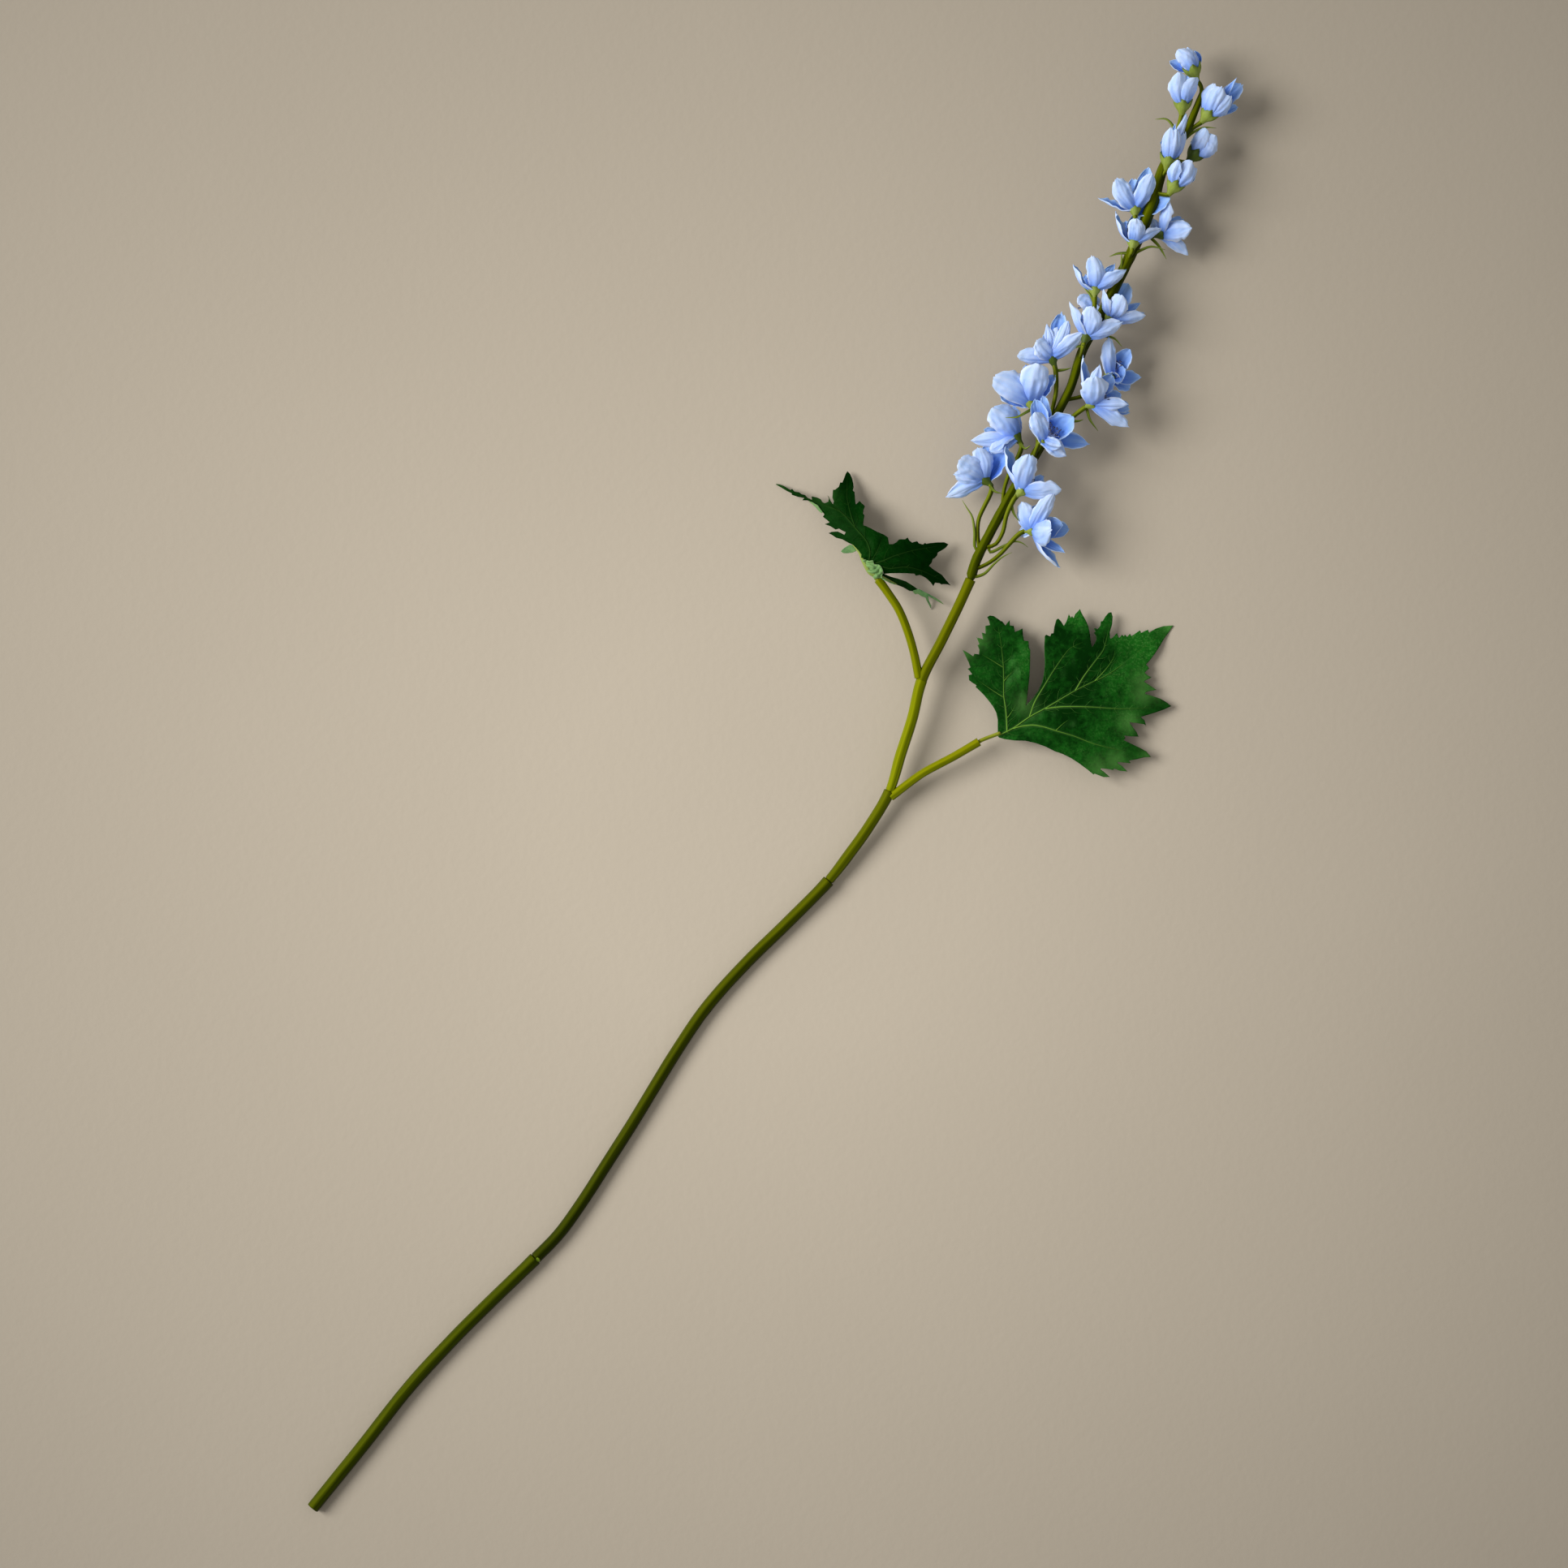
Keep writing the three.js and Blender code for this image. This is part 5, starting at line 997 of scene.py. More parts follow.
# Leaves: green cloth cut with a toothed die, coated and pressed with veins that are printed in a
# lighter yellow-green. The underside is pale. A thin stalk runs into the tube that holds the leaf.
# Outlines and veins are measured from the foot of the blade. Its place in the stem's own plan is
# the leaf's base.
RIGHT_BASE = (103.2, 20.9)
RIGHT_LEAF = [
    (0.2, -0.5), (0.2, 3.9), (0.2, 7.1), (-0.5, 10.2), (-2, 13.1), (-3.9, 15.6), (-6.2, 18.4),
    (-8.4, 20.6), (-10.2, 22.3), (-9.8, 23.1), (-11.6, 24.2), (-13.2, 25.4), (-13.4, 27.8),
    (-11.8, 28.2), (-12.8, 29.7), (-13.9, 30.7), (-12.6, 31.4), (-13.6, 34.2), (-15, 37.1),
    (-16.2, 39.6), (-13.8, 38.3), (-11.3, 36.6), (-10.7, 37.8), (-8.6, 37.5), (-8.4, 39.6),
    (-9.2, 41.8), (-8.4, 42.3), (-9.7, 45.5), (-6.7, 44.6), (-7.3, 47.7), (-5.5, 47.2), (-5.6, 50.8),
    (-3.4, 51.2), (-3.9, 53.2), (-4.7, 54.9), (-3.5, 55.7), (-1.6, 55.4), (0.2, 54.2), (1.8, 53),
    (2.3, 53), (3.8, 51), (4.7, 52.2), (5.8, 53.5), (5.9, 51), (7.7, 50.8), (8.2, 48), (10, 48.7),
    (11.8, 49.6), (12, 46.5), (12.5, 43.9), (14.6, 43.7), (14.8, 40.5), (15.4, 39.5), (15.3, 34.2),
    (15, 27.3), (14.4, 21.9), (13.9, 17.2), (13.4, 13.6), (15, 15.3), (17, 17.5), (19.2, 20.8),
    (20.8, 24.2), (21.7, 28), (22.2, 33), (22, 37.4), (21.9, 41.2), (22.2, 46.1), (22.8, 46.7),
    (24.7, 45.9), (25.2, 47.3), (26.2, 47.4), (26.7, 50.6), (27.6, 53.7), (28.5, 54.3), (29.8, 53),
    (31.1, 50.9), (32.4, 53), (33.5, 56.4), (34.3, 54.7), (35, 55.4), (35.7, 54.5), (36.5, 56.4),
    (37.7, 57.6), (38.7, 58.8), (39.6, 56.6), (41.2, 53.9), (42.7, 50.5), (43.4, 46.7), (43.7, 43.7),
    (44.3, 41), (45.4, 42.3), (46.3, 44.4), (46.2, 46.1), (45.1, 47.7), (46, 48.1), (44.9, 50.3),
    (46.9, 49.3), (48.2, 50.9), (48.5, 53), (49.4, 53.2), (50.7, 55.4), (52.2, 57.1), (53.5, 57.3),
    (54.1, 55.2), (53.8, 51.6), (52.7, 48), (52.8, 44.3), (54.2, 45.6), (56, 47.6), (57, 45.2),
    (58.5, 46.8), (59.2, 46), (59.8, 46.9), (60.8, 45.8), (62.2, 47.3), (62.9, 46.1), (65, 47.6),
    (66.9, 48.9), (67.5, 47.7), (69, 48.5), (70.8, 49.2), (71.2, 47.8), (74.3, 49.7), (78.1, 50.9),
    (82.6, 51.2), (80.6, 48.1), (78.2, 44.8), (76.3, 41.6), (73.8, 37.8), (71.5, 34.8), (69.7, 32.8),
    (70.5, 32.2), (71.1, 30.9), (69, 29.1), (70, 28.1), (72.2, 26.8), (68.6, 24.9), (71.3, 23.2),
    (74.6, 21), (71.1, 20.4), (68.3, 19.4), (71.8, 18.4), (76.3, 16.9), (79.2, 15.3), (81.6, 13.4),
    (78.1, 11.8), (74.3, 10.5), (70.5, 9.3), (67, 8.3), (68.9, 6.8), (69.4, 5), (69.9, 3.2),
    (68.8, 4.9), (65.5, 5.4), (61.7, 5.8), (63.6, 3.3), (65.2, 1.1), (66.1, -0.9), (62.8, -0.8),
    (59.2, -0.4), (60, -1.5), (59, -2.5), (62.9, -4.3), (66.9, -6.2), (69.8, -7.8), (72, -10.4),
    (68.6, -10.6), (65, -11.5), (61.4, -12.1), (63, -13.4), (59.8, -13.1), (55.2, -12.6), (58.2, -14.5),
    (60.9, -17.2), (57.3, -16.8), (54.5, -15.8), (54.2, -16.5), (51.6, -16), (47.4, -15.6),
    (49.8, -17.3), (52.6, -19.7), (49.7, -19.8), (45.4, -18.2), (44.9, -18.6), (42.1, -16.3),
    (38.3, -13.5), (34.5, -11), (30.7, -9.1), (26.9, -7.8), (22.5, -5.6), (18.1, -4), (13.1, -2.8),
    (8, -2.7), (3.6, -2.1), (0.7, -1.3),
]
RIGHT_VEINS = [
    [(0.2, -0.5), (7.4, 3), (15, 8.3), (22.5, 12.4), (30.1, 16.9), (36.4, 20.6), (44.6, 24.7),
     (49.7, 27), (54.7, 30.1), (59.8, 33.9), (65.5, 38.6), (74.9, 45.6)],
    [(4.6, 1.3), (4.3, 7.7), (3.9, 12.1), (3, 18.4), (3, 24.7), (2.8, 32.3), (1.8, 41.8), (0.4, 50.6)],
    [(3.1, 25.1), (5, 27.3), (7.5, 29.7)],
    [(4.6, 7.8), (6.6, 10.5), (8.6, 14.1)],
    [(15, 8.3), (17.4, 15.3), (21.9, 22.9), (25.7, 29.2), (29.5, 34.8), (33.8, 40.2), (39.9, 43.2)],
    [(36.4, 20.6), (40.2, 27), (44.6, 33), (49.7, 39.9), (52.2, 50)],
    [(45.6, 25.2), (49, 28.6), (52.6, 33), (54.6, 36.6), (55, 39.3)],
    [(22.5, 12.2), (29.5, 13), (37.1, 13.1), (44.6, 12.9), (57.3, 12.1), (73, 12.7)],
    [(7.4, 2.9), (11.2, 3.9), (16.8, 4.5), (21.9, 3.6), (28.2, 1.6), (35.8, -0.6), (45.3, -4.3),
     (63.6, -8.7)],
    [(27.2, 1.9), (30.4, 4.9), (33.3, 7.1)],
    [(3, 17.4), (-2.7, 21), (-9, 25.4)],
    [(2.8, 31.4), (-2.7, 34.8), (-7.1, 37.4)],
]
LEFT_BASE = (46.4, 93.4)
LEFT_LEAF = [
    (-1.9, 8.4), (-3.2, 8.3), (-4.8, 9.1), (-7, 9.1), (-6.7, 11.4), (-8.1, 13.3), (-10.5, 15.8),
    (-12.9, 17), (-15.6, 18.6), (-18.3, 19.3), (-20.3, 20.7), (-22, 21.6), (-20.4, 22.2), (-17.7, 22.3),
    (-16.1, 21.5), (-14.6, 20.7), (-14, 21.9), (-15.9, 22.8), (-18.7, 23.2), (-21.1, 24.8),
    (-23.7, 25.8), (-21.5, 26.6), (-22.5, 27.6), (-24.6, 29.3), (-23.9, 30.4), (-24.6, 31.3),
    (-26.9, 34.5), (-29.1, 35.9), (-31.8, 37), (-34.2, 37.1), (-33.3, 38.2), (-36.1, 38.7),
    (-39.1, 39.7), (-39.2, 40.5), (-41.2, 41.4), (-43.9, 43.1), (-47.3, 45.1), (-44.7, 44.7), (-42.5, 43.7),
    (-39.8, 42), (-38.9, 42.5), (-37.9, 41.3), (-35.6, 40.8), (-34.6, 40), (-32.9, 39.5), (-31.8, 38.3),
    (-29.7, 37.3), (-29.9, 38.9), (-27.5, 38.4), (-25.6, 37.5), (-24.7, 36), (-23.6, 35.6),
    (-22.1, 36.3), (-21.8, 37.8), (-22.9, 40.1), (-21.7, 38.5), (-21, 36.7), (-19.9, 35), (-20.2, 38.2),
    (-19.9, 41.9), (-18.8, 42), (-18.3, 42.5), (-17.2, 43.3), (-16.5, 45.4), (-15.5, 45.4),
    (-14.7, 47.4), (-13.9, 49.6), (-13.1, 50.8), (-11.9, 49.6), (-10.9, 47.4), (-10.3, 44.6),
    (-10.2, 43), (-10.6, 41.6), (-9.8, 40.8), (-9.6, 38.3), (-9.5, 36.5), (-9.3, 34.9), (-8.3, 35.7),
    (-7.5, 36.6), (-6.4, 35.4), (-5, 34), (-5.7, 32.2), (-5.9, 30.5), (-5.2, 29.6), (-5.6, 27.8),
    (-5.9, 25), (-4.2, 24.4), (-1.9, 23.3), (0.6, 21.9), (3.4, 20.8), (5.7, 19.3), (6.1, 16.1),
    (8.1, 16.2), (9.6, 17.1), (10.8, 18.4), (11.9, 18.5), (13.6, 18.5), (14.9, 19.4), (15.5, 18.1),
    (16.9, 17), (19.3, 17.7), (20.1, 16.7), (22, 16.2), (23.1, 17), (23.5, 16.5), (25.5, 16.9),
    (28.8, 17.3), (32.1, 17.4), (34.1, 16.5), (32.8, 14.8), (31.1, 13.7), (29, 12.5), (28.7, 11.2),
    (27.7, 10.1), (26.6, 9.4), (26.1, 7.7), (24.9, 6.3), (26.6, 4.9), (29.5, 3.1), (31.1, 2.1),
    (32.8, -0), (35.2, -2.7), (33.6, -2.2), (31.6, -2.1), (30.8, -2.3), (30, -1.7), (27.8, -1.5),
    (27, -3.1), (25.7, -1.3), (23.4, 0.7), (20.7, 2), (18.7, 1.6), (18.1, 2.5), (14.1, 2.7), (9.8, 2.7),
    (6.5, 2.6), (3.5, 2.2), (3.3, 4.1), (1.2, 6.5), (-0.5, 6.6),
]
LEFT_VEINS = [
    [(-3.2, 8.3), (-2.7, 12.6), (-4.3, 17.4), (-9.7, 24), (-16.1, 31.2), (-25.3, 35.4), (-31.5, 37.8),
     (-35.6, 39.7), (-41, 42.1), (-45.3, 44.2)],
    [(-9.7, 24), (-11.8, 30.6), (-13.4, 38.3), (-13.1, 49.4)],
    [(-16.1, 31.2), (-20.4, 35)],
    [(-1.9, 8.4), (1.1, 14.1), (3.3, 19.6)],
    [(-0.5, 7.1), (3.8, 8.5), (8.4, 10.6), (16.8, 13.2), (32.6, 16.2)],
    [(3.2, 5.5), (6.5, 4.8), (14.1, 5.6), (21.2, 4.1), (33.8, -1.6)],
]
# Parts of the left leaf that are turned over and show its pale back, or lie below the rest.
LOWER_LOBE = [
    (3.4, 2.6), (7.2, 1.1), (10.4, 0.3), (14.2, -0.9), (17.6, -3), (20.3, -4.9), (25, -7), (28, -8.5),
    (27.2, -8.2), (24.8, -7.7), (21.3, -6.6), (18.6, -5.6), (15.7, -5.2), (13.1, -3.7), (9.3, -2.3),
    (5.6, -0.5), (2.6, 1.3),
]
LOWER_LOBE_BACK = [
    (17.6, -5.1), (20.2, -4.4), (25.1, -6.9), (28.1, -8.5), (30.5, -10), (32.5, -11.9), (29.5, -10.3),
    (27.3, -9.1), (24.6, -7.6), (25, -9.8), (26.1, -11.9), (26.2, -13.8), (24.8, -11.3), (23.8, -9.5),
    (23.4, -8.4), (21.3, -7.6), (19.7, -6.6), (18.6, -6.9), (17.6, -5.9),
]
SIDE_LOBE_BACK = [
    (-16.2, 13), (-15.5, 13.9), (-14, 15), (-12, 16.1), (-10.6, 15.7), (-9.8, 14.5), (-9, 13.2),
    (-10.7, 12.4), (-13.4, 12.1), (-15.1, 12.2),
]
FOOT_BACK = [
    (-6.4, 8.8), (-4.8, 9), (-3.2, 8.3), (-1.3, 8.6), (-0.8, 6.7), (1.4, 6.6), (2.7, 5.4), (3.3, 4),
    (3.3, 2.3), (2.5, 1), (5.4, -0.7), (9.2, -2.4), (10.6, -2.9), (7.6, -2.3), (3.3, -0.4), (1.1, 0.4),
    (-0.8, -0.2), (-2.1, 1.6), (-3.2, 2.7), (-4.8, 4.5), (-5.5, 6.7),
]
FOLDED_EDGE_BACK = [
    (-31.7, 36.9), (-29.1, 35.9), (-26.9, 34.5), (-24.6, 31.3), (-25.3, 30.9), (-26.9, 32.4),
    (-28.1, 33.8), (-30.2, 35.7),
]


def to_line(px, py, line):
    """Distances of many points from a line of points, and how far along it each is nearest."""
    nearest = np.full(px.shape, 1e9)
    along = np.zeros(px.shape)
    gone = 0.0
    for (ax, ay, *_), (bx, by, *_) in zip(line, line[1:]):
        span = math.hypot(bx - ax, by - ay)
        share = np.clip(((px - ax) * (bx - ax) + (py - ay) * (by - ay)) / span**2, 0, 1)
        distance = np.hypot(px - ax - share * (bx - ax), py - ay - share * (by - ay))
        closer = distance < nearest
        nearest = np.where(closer, distance, nearest)
        along = np.where(closer, gone + share * span, along)
        gone += span
    return nearest, along


def inside_outline(px, py, outline):
    """True for each point that lies inside a closed outline."""
    inside = np.zeros(px.shape, bool)
    for (ax, ay), (bx, by) in zip(outline, outline[1:] + outline[:1]):
        crosses = (ay > py) != (by > py)
        with np.errstate(divide="ignore", invalid="ignore"):
            inside ^= crosses & (px < (bx - ax) * (py - ay) / (by - ay) + ax)
    return inside


def is_inside(x, y, outline):
    """True where one point lies inside a closed outline."""
    return bool(inside_outline(np.array([x]), np.array([y]), outline)[0])


def onto_line(x, y, line):
    """The point of a line of points that lies nearest to a point."""
    best, found = 1e9, (x, y)
    for (ax, ay), (bx, by) in zip(line, line[1:]):
        span = (bx - ax) ** 2 + (by - ay) ** 2
        share = min(1, max(0, ((x - ax) * (bx - ax) + (y - ay) * (by - ay)) / span))
        qx, qy = ax + share * (bx - ax), ay + share * (by - ay)
        if math.hypot(x - qx, y - qy) < best:
            best, found = math.hypot(x - qx, y - qy), (qx, qy)
    return found


def sheet_points(sheet):
    """The places of a mesh's points, as rows of x, y and z."""
    flat = np.zeros(len(sheet.data.vertices) * 3)
    sheet.data.vertices.foreach_get("co", flat)
    return flat.reshape(-1, 3)


def cut_sheet(name, outline, mesh_size):
    """A flat grid cut to an outline, in millimetres of the outline's own plan."""
    xs, ys = [p[0] for p in outline], [p[1] for p in outline]
    wide, deep = max(xs) - min(xs) + 2, max(ys) - min(ys) + 2
    sheet = blank(name, int(wide / mesh_size), int(deep / mesh_size))
    flat = sheet_points(sheet)
    px = min(xs) - 1 + (flat[:, 0] + 0.5) * wide
    py = min(ys) - 1 + (flat[:, 1] + 0.5) * deep
    near_rim = to_line(px, py, outline + outline[:1])[0] < mesh_size * 0.5
    flat[:, 0], flat[:, 1], flat[:, 2] = px, py, 0
    sheet.data.vertices.foreach_set("co", flat.ravel())
    bpy.ops.object.mode_set(mode="EDIT")
    bpy.ops.mesh.select_mode(type="VERT")
    bpy.ops.mesh.select_all(action="DESELECT")
    bpy.ops.object.mode_set(mode="OBJECT")
    sheet.data.vertices.foreach_set("select", ~(inside_outline(px, py, outline) | near_rim))
    bpy.ops.object.mode_set(mode="EDIT")
    bpy.ops.mesh.delete(type="VERT")
    bpy.ops.mesh.select_all(action="SELECT")
    bpy.ops.mesh.delete_loose(use_verts=True, use_edges=True, use_faces=False)
    # A crumb that came off a thin tip is swept away: only what hangs together stays.
    bpy.ops.mesh.select_all(action="DESELECT")
    bpy.ops.object.mode_set(mode="OBJECT")
    flat = sheet_points(sheet)
    middle = np.hypot(flat[:, 0] - np.mean(xs), flat[:, 1] - np.mean(ys)).argmin()
    sheet.data.vertices[int(middle)].select = True
    bpy.ops.object.mode_set(mode="EDIT")
    bpy.ops.mesh.select_linked()
    bpy.ops.mesh.select_all(action="INVERT")
    bpy.ops.mesh.delete(type="VERT")
    bpy.ops.object.mode_set(mode="OBJECT")
    return sheet


def trim_to(sheet, outline, mesh_size):
    """Draws the points of a cut edge onto the outline, the nearest ones onto its corners."""
    flat = sheet_points(sheet)
    corners = np.zeros(len(sheet.data.loops), int)
    sheet.data.loops.foreach_get("edge_index", corners)
    uses = np.bincount(corners, minlength=len(sheet.data.edges))
    ends = np.zeros(len(sheet.data.edges) * 2, int)
    sheet.data.edges.foreach_get("vertices", ends)
    edge_points = np.unique(ends.reshape(-1, 2)[uses == 1])
    for k in edge_points:
        flat[k, 0], flat[k, 1] = onto_line(flat[k, 0], flat[k, 1], outline + outline[:1])
    for x, y in outline:
        reach = np.hypot(flat[edge_points, 0] - x, flat[edge_points, 1] - y)
        if reach.min() < mesh_size * 1.5:
            flat[edge_points[reach.argmin()], :2] = x, y
    sheet.data.vertices.foreach_set("co", flat.ravel())
    bpy.ops.object.mode_set(mode="EDIT")
    bpy.ops.mesh.select_all(action="SELECT")
    bpy.ops.mesh.remove_doubles(threshold=0.02)
    bpy.ops.mesh.dissolve_degenerate(threshold=0.02)
    bpy.ops.object.mode_set(mode="OBJECT")


def sharp_tips(px, py, outline):
    """How near each of many points is to one of the outline's sharp tips, 1 at the tip itself."""
    near = np.zeros(len(px))
    for k, (x, y) in enumerate(outline):
        ax, ay = outline[k - 1]
        bx, by = outline[(k + 1) % len(outline)]
        sharp = math.hypot(x - ax, y - ay) + math.hypot(x - bx, y - by) - math.hypot(ax - bx, ay - by)
        if sharp > 3.5:
            near = np.maximum(near, np.exp(-((np.hypot(px - x, py - y) / 5) ** 2)))
    return near


LEAF_THICKNESS = 0.5
LOWEST = 0.3  # the height of the cloth's middle where it lies on the surface
SUNK = 0.17  # how deep a vein's rib sinks into the cloth


def leaf_sheet(name, base, outline, veins, height, mesh_size):
    """A leaf's cloth: cut, thickened, pressed along its veins and raised to its height."""
    sheet = cut_sheet(name, outline, mesh_size)
    trim_to(sheet, outline, mesh_size)
    sheet.data.vertices.foreach_set("co", (sheet_points(sheet) * MM).ravel())
    thicken(sheet, LEAF_THICKNESS)
    flat = sheet_points(sheet)
    px, py = flat[:, 0] / MM, flat[:, 1] / MM
    valley_and_painted_shade, printed = np.zeros(len(px)), np.zeros(len(px))
    for line in veins:
        near, along = to_line(px, py, line)
        fade = np.clip(1.2 - along / 70, 0.2, 1)
        valley_and_painted_shade = np.maximum(valley_and_painted_shade, fade * np.exp(-near / 2.4))
        span = sum(math.dist(a, b) for a, b in zip(line, line[1:]))
        ink = np.clip(1 - along / span, 0, 1) * min(1, span / 40)
        printed = np.maximum(printed, ink * np.exp(-((near / (0.2 + 0.4 * ink)) ** 2)))
    # The valleys' mask also carries painted shade into the cloth's colour.
    for label, values in (("valley_and_painted_shade", valley_and_painted_shade), ("tip", sharp_tips(px, py, outline)), ("printed", printed)):
        stored = sheet.data.attributes.new(label, "FLOAT", "POINT")
        stored.data.foreach_set("value", values)
    from_edge, _ = to_line(px, py, outline + outline[:1])
    ripple = np.array([1.3 * noise.noise(Vector((x * 0.09, y * 0.09, 2))) for x, y in zip(px, py)])
    ripple += 0.45 * np.array([noise.noise(Vector((x * 0.26, y * 0.26, 7))) for x, y in zip(px, py)])
    lift = height(px, py) + ripple * np.clip(from_edge / 4, 0.25, 1) * (1 - valley_and_painted_shade) - 0.7 * valley_and_painted_shade
    flat[:, 2] += np.maximum(lift, LOWEST) * MM
    flat[:, 0] += (base[0] + PLAN_X) * MM
    flat[:, 1] += (base[1] + PLAN_Y) * MM
    sheet.data.vertices.foreach_set("co", flat.ravel())
    sheet.data.update()
    return sheet


def vein_ribs(base, veins, height, half_width):
    """The printed veins: fine ribs that lie on the leaf and thin out from their root."""
    ribs = []
    for line in veins:
        flat = [on_plan(p) for p in smooth_line([(x, y, 0) for x, y in line])[::4]]
        xs, ys = np.array([p.x for p in flat]), np.array([p.y for p in flat])
        tops = height(xs, ys)
        row = [spot(base[0] + x, base[1] + y, max(LOWEST, z) - SUNK) for x, y, z in zip(xs, ys, tops)]
        reach = length_of(row)
        start = half_width * min(1, 0.35 + reach / 90)
        count = max(6, int(reach / 1.2))
        stations = stepped(reach, count, lambda share: start * (1 - 0.85 * share) + 0.02)
        ribs.append(rod("vein", row, stations, 6))
    return ribs


SIDE_SPACING, SIDE_LENGTH, SIDE_SLANT = 7, 15, 46


def side_veins(veins):
    """Thin veins that leave each main vein by turns on both sides."""
    draws = random.Random(3)
    found = []
    for line in veins:
        row = smooth_line([(x, y, 0) for x, y in line])
        reach = measured(row)
        count = int(reach[-1] / MM / SIDE_SPACING)
        for k in range(1, count + 1):
            centre, direction = on_line(row, reach, (k - 0.4) * SIDE_SPACING * MM)
            x, y, _ = on_plan(centre)
            for way in (1, -1):
                slant = math.radians(SIDE_SLANT + draws.uniform(-12, 12))
                turn = math.atan2(direction.y, direction.x) + way * slant
                far = SIDE_LENGTH * (1 - 0.55 * k / count) * draws.uniform(0.5, 1)
                bow = turn - way * 0.35
                found.append([(x, y), (x + 0.5 * far * math.cos(turn), y + 0.5 * far * math.sin(turn)),
                              (x + far * math.cos(bow), y + far * math.sin(bow))])
    return found


def leaf_cloth(name, dark, light, net, tip_tint, roughness=0.48, gloss=0.2):
    """Coated cloth: mottled greens, a net of fine pale hairs that shows in patches, and painted shade in the
    valleys beside the veins.
    """
    material, tree, shader = new_material(name, roughness, Specular_IOR_Level=gloss,
                                          Specular_Tint=colour(130, 200, 110))
    place = add_node(tree, "ShaderNodeTexCoord").outputs["Object"]
    broad = grained(tree, place, 34.0)["Fac"]
    mottle = grained(tree, place, 420.0, 5.0, 0.7)
    together = worked_out(tree, "MULTIPLY_ADD", mottle["Fac"], 0.55, broad)
    greens = mixed(tree, colour(*dark), colour(*light), ranged(tree, together, 0.62, 0.94))
    bent = moved(tree, "MULTIPLY_ADD", mottle["Color"], (0.004, 0.004, 0.004), place)
    cells = add_node(tree, "ShaderNodeTexVoronoi", feature="DISTANCE_TO_EDGE", in_Scale=1150.0,
                     in_Vector=bent).outputs["Distance"]
    hairs = ranged(tree, cells, 0.0, 0.09, 1.0, 0.0)
    broken = ranged(tree, grained(tree, place, 900.0, 1.0)["Fac"], 0.46, 0.58)
    patches = ranged(tree, broad, 0.42, 0.66, 0.0, net)
    shown = worked_out(tree, "MULTIPLY", worked_out(tree, "MULTIPLY", hairs, broken), patches)
    tint = mixed(tree, greens, colour(*tip_tint), shown)
    # Painted shade: the valleys beside the veins are coloured darker; the tips are tinted and the veins
    # printed.
    for label, strength, shade in (
        ("valley_and_painted_shade", 0.62, dark),
        ("tip", 0.3, tip_tint),
        ("printed", net * 0.7, tip_tint),
    ):
        mask = add_node(tree, "ShaderNodeAttribute", attribute_name=label).outputs["Fac"]
        tint = mixed(tree, tint, colour(*shade), worked_out(tree, "MULTIPLY", mask, strength))
    coat(tree, shader, tint, relief(tree, grained(tree, place, 1500.0)["Fac"], 0.3, 0.0002))
    return material


leaf_face = leaf_cloth("leaf_face", (0, 36, 2), (24, 94, 22), 0.7, (98, 154, 76), 0.42, 0.22)
leaf_dark_face = leaf_cloth("leaf_dark_face", (0, 28, 1), (6, 50, 6), 0.3, (58, 104, 44), gloss=0.06)
leaf_back = leaf_cloth("leaf_back", (62, 106, 66), (118, 156, 98), 0.6, (172, 198, 126), 0.7, 0.12)
vein_print = stem_plastic("vein_print", (128, 178, 72), (44, 104, 30), 8, 0.55, 0.8)
side_vein_print = stem_plastic("side_vein_print", (92, 146, 70), (44, 102, 38), 8, 0.55, 0.9)
dark_vein_print = stem_plastic("dark_vein_print", (40, 84, 30), (10, 52, 8), 8, 0.55, 0.8)
stalk_cloth = stem_plastic("leaf_stalk_green", (138, 142, 20), (158, 164, 60), 3, 0.5, 0.7)
rib_cloth = stem_plastic("leaf_rib_green", (178, 192, 116), (142, 164, 84), 3, 0.5, 0.8)


HALF_SOLID = 0.375  # half the thickness of a leaf's solid, the lowest that its middle can lie


def right_height(px, py):
    """The right leaf droops from its stalk until its far tips touch the surface."""
    reach = np.hypot(px, py)
    droop = 9.6 + 0.07 * reach - 0.0018 * reach**2
    folds = sum(1.5 * np.exp(-((to_line(px, py, line)[0] / 5) ** 2)) for line in (
        [(0, 0), (22, 13.6), (44, 25.2), (66, 39.2)],
        [(0, 0), (4.2, 10), (3.4, 22), (3.8, 36)],
        [(4, 1.6), (16, 5.2), (28, 4.2), (40, -3)],
    ))
    return np.maximum(HALF_SOLID, droop - folds * np.minimum(1, reach / 12))


LEFT_RIDGE = [(0, 0, 15.6), (3.4, 11, 19), (-5, 23, 17), (-20, 34.4, 9.4), (-47.2, 45.2, 0.5)]


def along_heights(px, py, line):
    """Distance from a line with heights, and the line's height at the nearest place."""
    nearest, along = to_line(px, py, line)
    steps = [0.0]
    for a, b in zip(line, line[1:]):
        steps.append(steps[-1] + math.hypot(b[0] - a[0], b[1] - a[1]))
    return nearest, np.interp(along, steps, [p[2] for p in line])


def left_height(px, py):
    """The left leaf is arched: it falls away on both sides of its ridge."""
    nearest, crest = along_heights(px, py, LEFT_RIDGE)
    return np.maximum(HALF_SOLID, crest - 0.46 * (np.hypot(nearest, 4) - 4))


def lower_lobe_height(px, py):
    """The lower lobe hangs beside the stalk, its outer edge lower than its inner one."""
    nearest, crest = along_heights(px, py, [(1.6, 2.4, 14.6), (14.4, 0, 9.4), (24, -6, 6.4), (33, -11.6, 3)])
    return crest - 0.9 * nearest


def over(height, rise):
    """A height a little above another one."""
    return lambda px, py: height(px, py) + rise


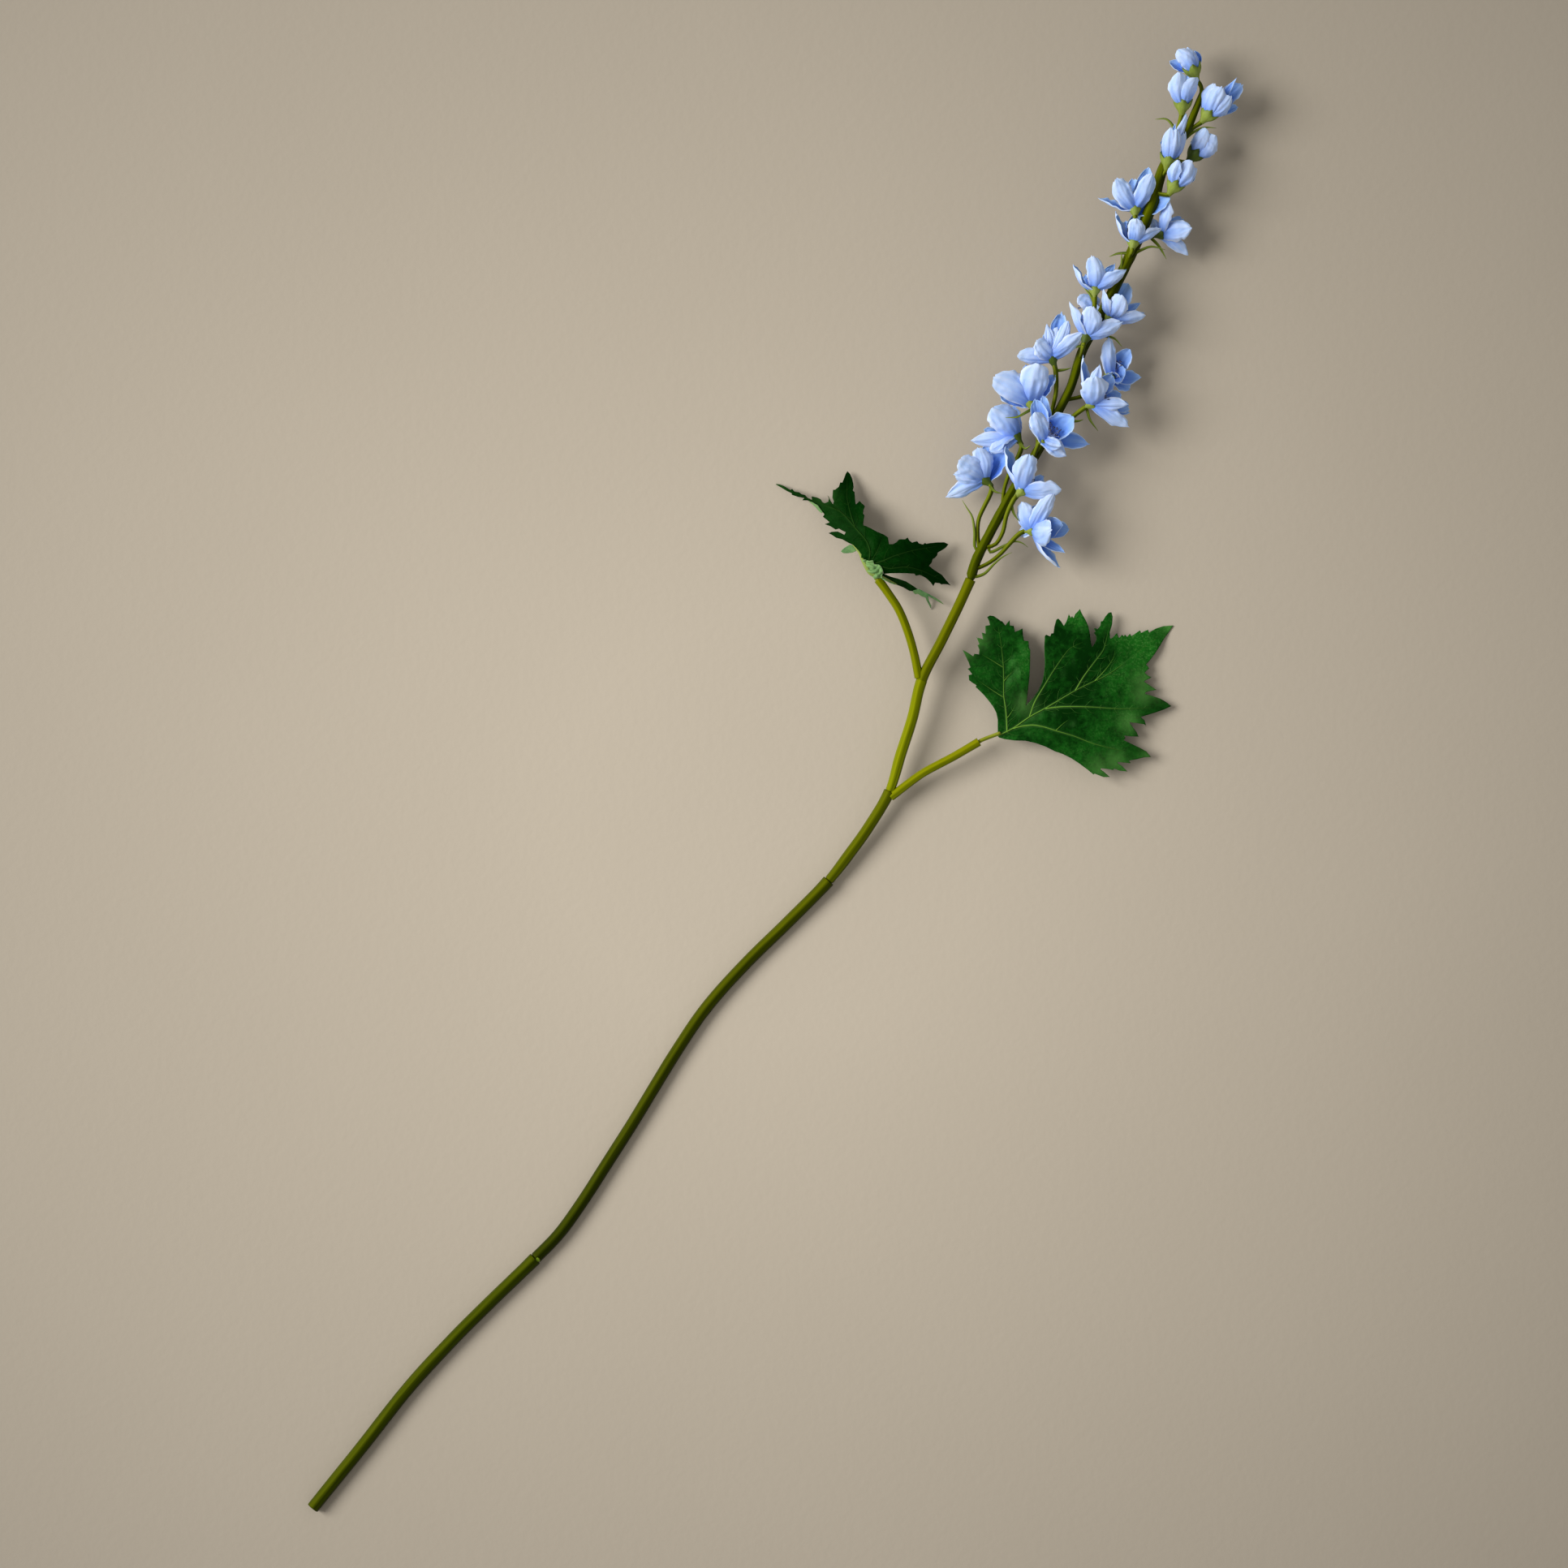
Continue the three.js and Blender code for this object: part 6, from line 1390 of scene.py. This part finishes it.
def crumpled(px, py):
    """The turned foot of the left leaf is creased into small facets."""
    places = zip(np.ravel(px), np.ravel(py))
    ridges = np.array([abs(noise.noise(Vector((0.3 * x, 0.42 * y, 2)))) for x, y in places])
    return left_height(px, py) + 0.4 + 3.2 * ridges.reshape(np.shape(px))


TOOTH_SPACING = 1.1
THIN = 1.15  # narrower tips than this have no teeth


def toothed(outline):
    """An outline with small uneven teeth between its large ones, but none on its thin tips."""
    draws = random.Random(8)
    found = []
    for (ax, ay), (bx, by) in zip(outline, outline[1:] + outline[:1]):
        span = math.hypot(bx - ax, by - ay)
        dx, dy = (bx - ax) / span, (by - ay) / span
        found.append((ax, ay))
        if not is_inside((ax + bx) / 2 - THIN * dy, (ay + by) / 2 + THIN * dx, outline):
            continue
        count = int(span / TOOTH_SPACING)
        for k in range(1, count):
            along = span * (k + draws.uniform(-0.2, 0.2)) / count
            out = (0.5 if k % 2 else -0.2) * draws.uniform(0.5, 1.3)
            found.append((ax + dx * along + dy * out, ay + dy * along - dx * out))
    return found


FLAP_MESH = 0.24
FLAP_RISE = 0.6  # how far a turned flap lies above what is under it
FOOT_RIB = [
    (-11, 16.4, 13), (-8.9, 14, 13.6), (-7.2, 11.6, 14.4), (-5.9, 8.3, 15.6), (-4.4, 5.4, 16.2),
    (-2.9, 2.9, 16.4), (-0.8, 1.6, 16.4), (2.5, 0.8, 15.4), (5.4, -0.4, 13.8), (9.8, -2.4, 11),
]


def left_leaf_flaps():
    """The parts of the left leaf that are turned over, and the thick rib along its crumpled foot."""
    pieces = []
    for outline, cloth, height in (
        (LOWER_LOBE, leaf_dark_face, lower_lobe_height),
        (LOWER_LOBE_BACK, leaf_back, over(lower_lobe_height, FLAP_RISE)),
        (SIDE_LOBE_BACK, leaf_back, lambda px, py: 10.5 + 0.25 * px + 0.3 * py),
        (FOOT_BACK, leaf_back, crumpled),
        (FOLDED_EDGE_BACK, leaf_back, over(left_height, FLAP_RISE)),
    ):
        flap = leaf_sheet("turned_flap", LEFT_BASE, outline, [], height, FLAP_MESH)
        flap.data.materials.append(cloth)
        flap.data.materials.append(leaf_back)
        pieces.append(flap)
    row = smooth_line([(LEFT_BASE[0] + x, LEFT_BASE[1] + y, z) for x, y, z in FOOT_RIB])
    stations = stepped(length_of(row), 30,
                       lambda share: 0.15 + 0.75 * math.sin(math.pi * (0.06 + 0.9 * share)))
    rib = rod("leaf_rib", row, stations, 10)
    rib.data.materials.append(rib_cloth)
    return pieces + [rib]


def leaf_stalk(tube_points, end, half):
    """The leaf's own thin stalk, from inside its tube to the foot of its blade."""
    tube_row = smooth_line(tube_points)
    mouth, heading = on_line(tube_row, measured(tube_row), measured(tube_row)[-1] - 1e-5)
    mouth = on_plan(mouth)
    row = smooth_line([mouth - heading * 4, mouth, mouth + heading * 1.5, end])
    stalk = rod("leaf_stalk", row, stepped(length_of(row), 12, lambda share: half), 12)
    stalk.data.materials.append(stalk_cloth)
    return stalk


LEAVES = [
    # name, node, place, outline, veins, height, face, prints of the main and side veins, mesh,
    # half width of the main veins, and the stalk's tube, end and half width
    ("right_leaf", "leaf_right", RIGHT_BASE, RIGHT_LEAF, RIGHT_VEINS, right_height, leaf_face,
     (vein_print, side_vein_print), 0.42, 0.26, (PETIOLES[1][2], (104.6, 21.7, 9.6), 0.9)),
    ("left_leaf", "leaf_left", LEFT_BASE, LEFT_LEAF, LEFT_VEINS, left_height, leaf_dark_face,
     (dark_vein_print, dark_vein_print), 0.3, 0.18, (PETIOLES[0][2], (45.0, 96.2, 16.0), 1.35)),
]
BRANCHING = 8  # so many of a leaf's veins have side veins
SIDE_HALF = 0.08
VEIN_RISE = 0.34
for name, node, base, outline, veins, height, face_cloth, prints, mesh_size, main_half, stalk in LEAVES:
    left = name == "left_leaf"
    leaf = leaf_sheet(name, base, toothed(outline) if left else outline, veins, height, mesh_size)
    leaf.data.materials.append(face_cloth)
    leaf.data.materials.append(leaf_back)
    pieces = [leaf]
    side = [line for line in side_veins(veins[:BRANCHING])
            if all(is_inside(x, y, outline) for x, y in line)]
    for lines, print_cloth, half in ((veins, prints[0], main_half), (side, prints[1], SIDE_HALF)):
        for rib in vein_ribs(base, lines, over(height, VEIN_RISE), half):
            rib.data.materials.append(print_cloth)
            pieces.append(rib)
    pieces.append(leaf_stalk(*stalk))
    if left:
        pieces += left_leaf_flaps()
    leaf = join(name, pieces)
    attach(leaf, "root")
    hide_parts(node)
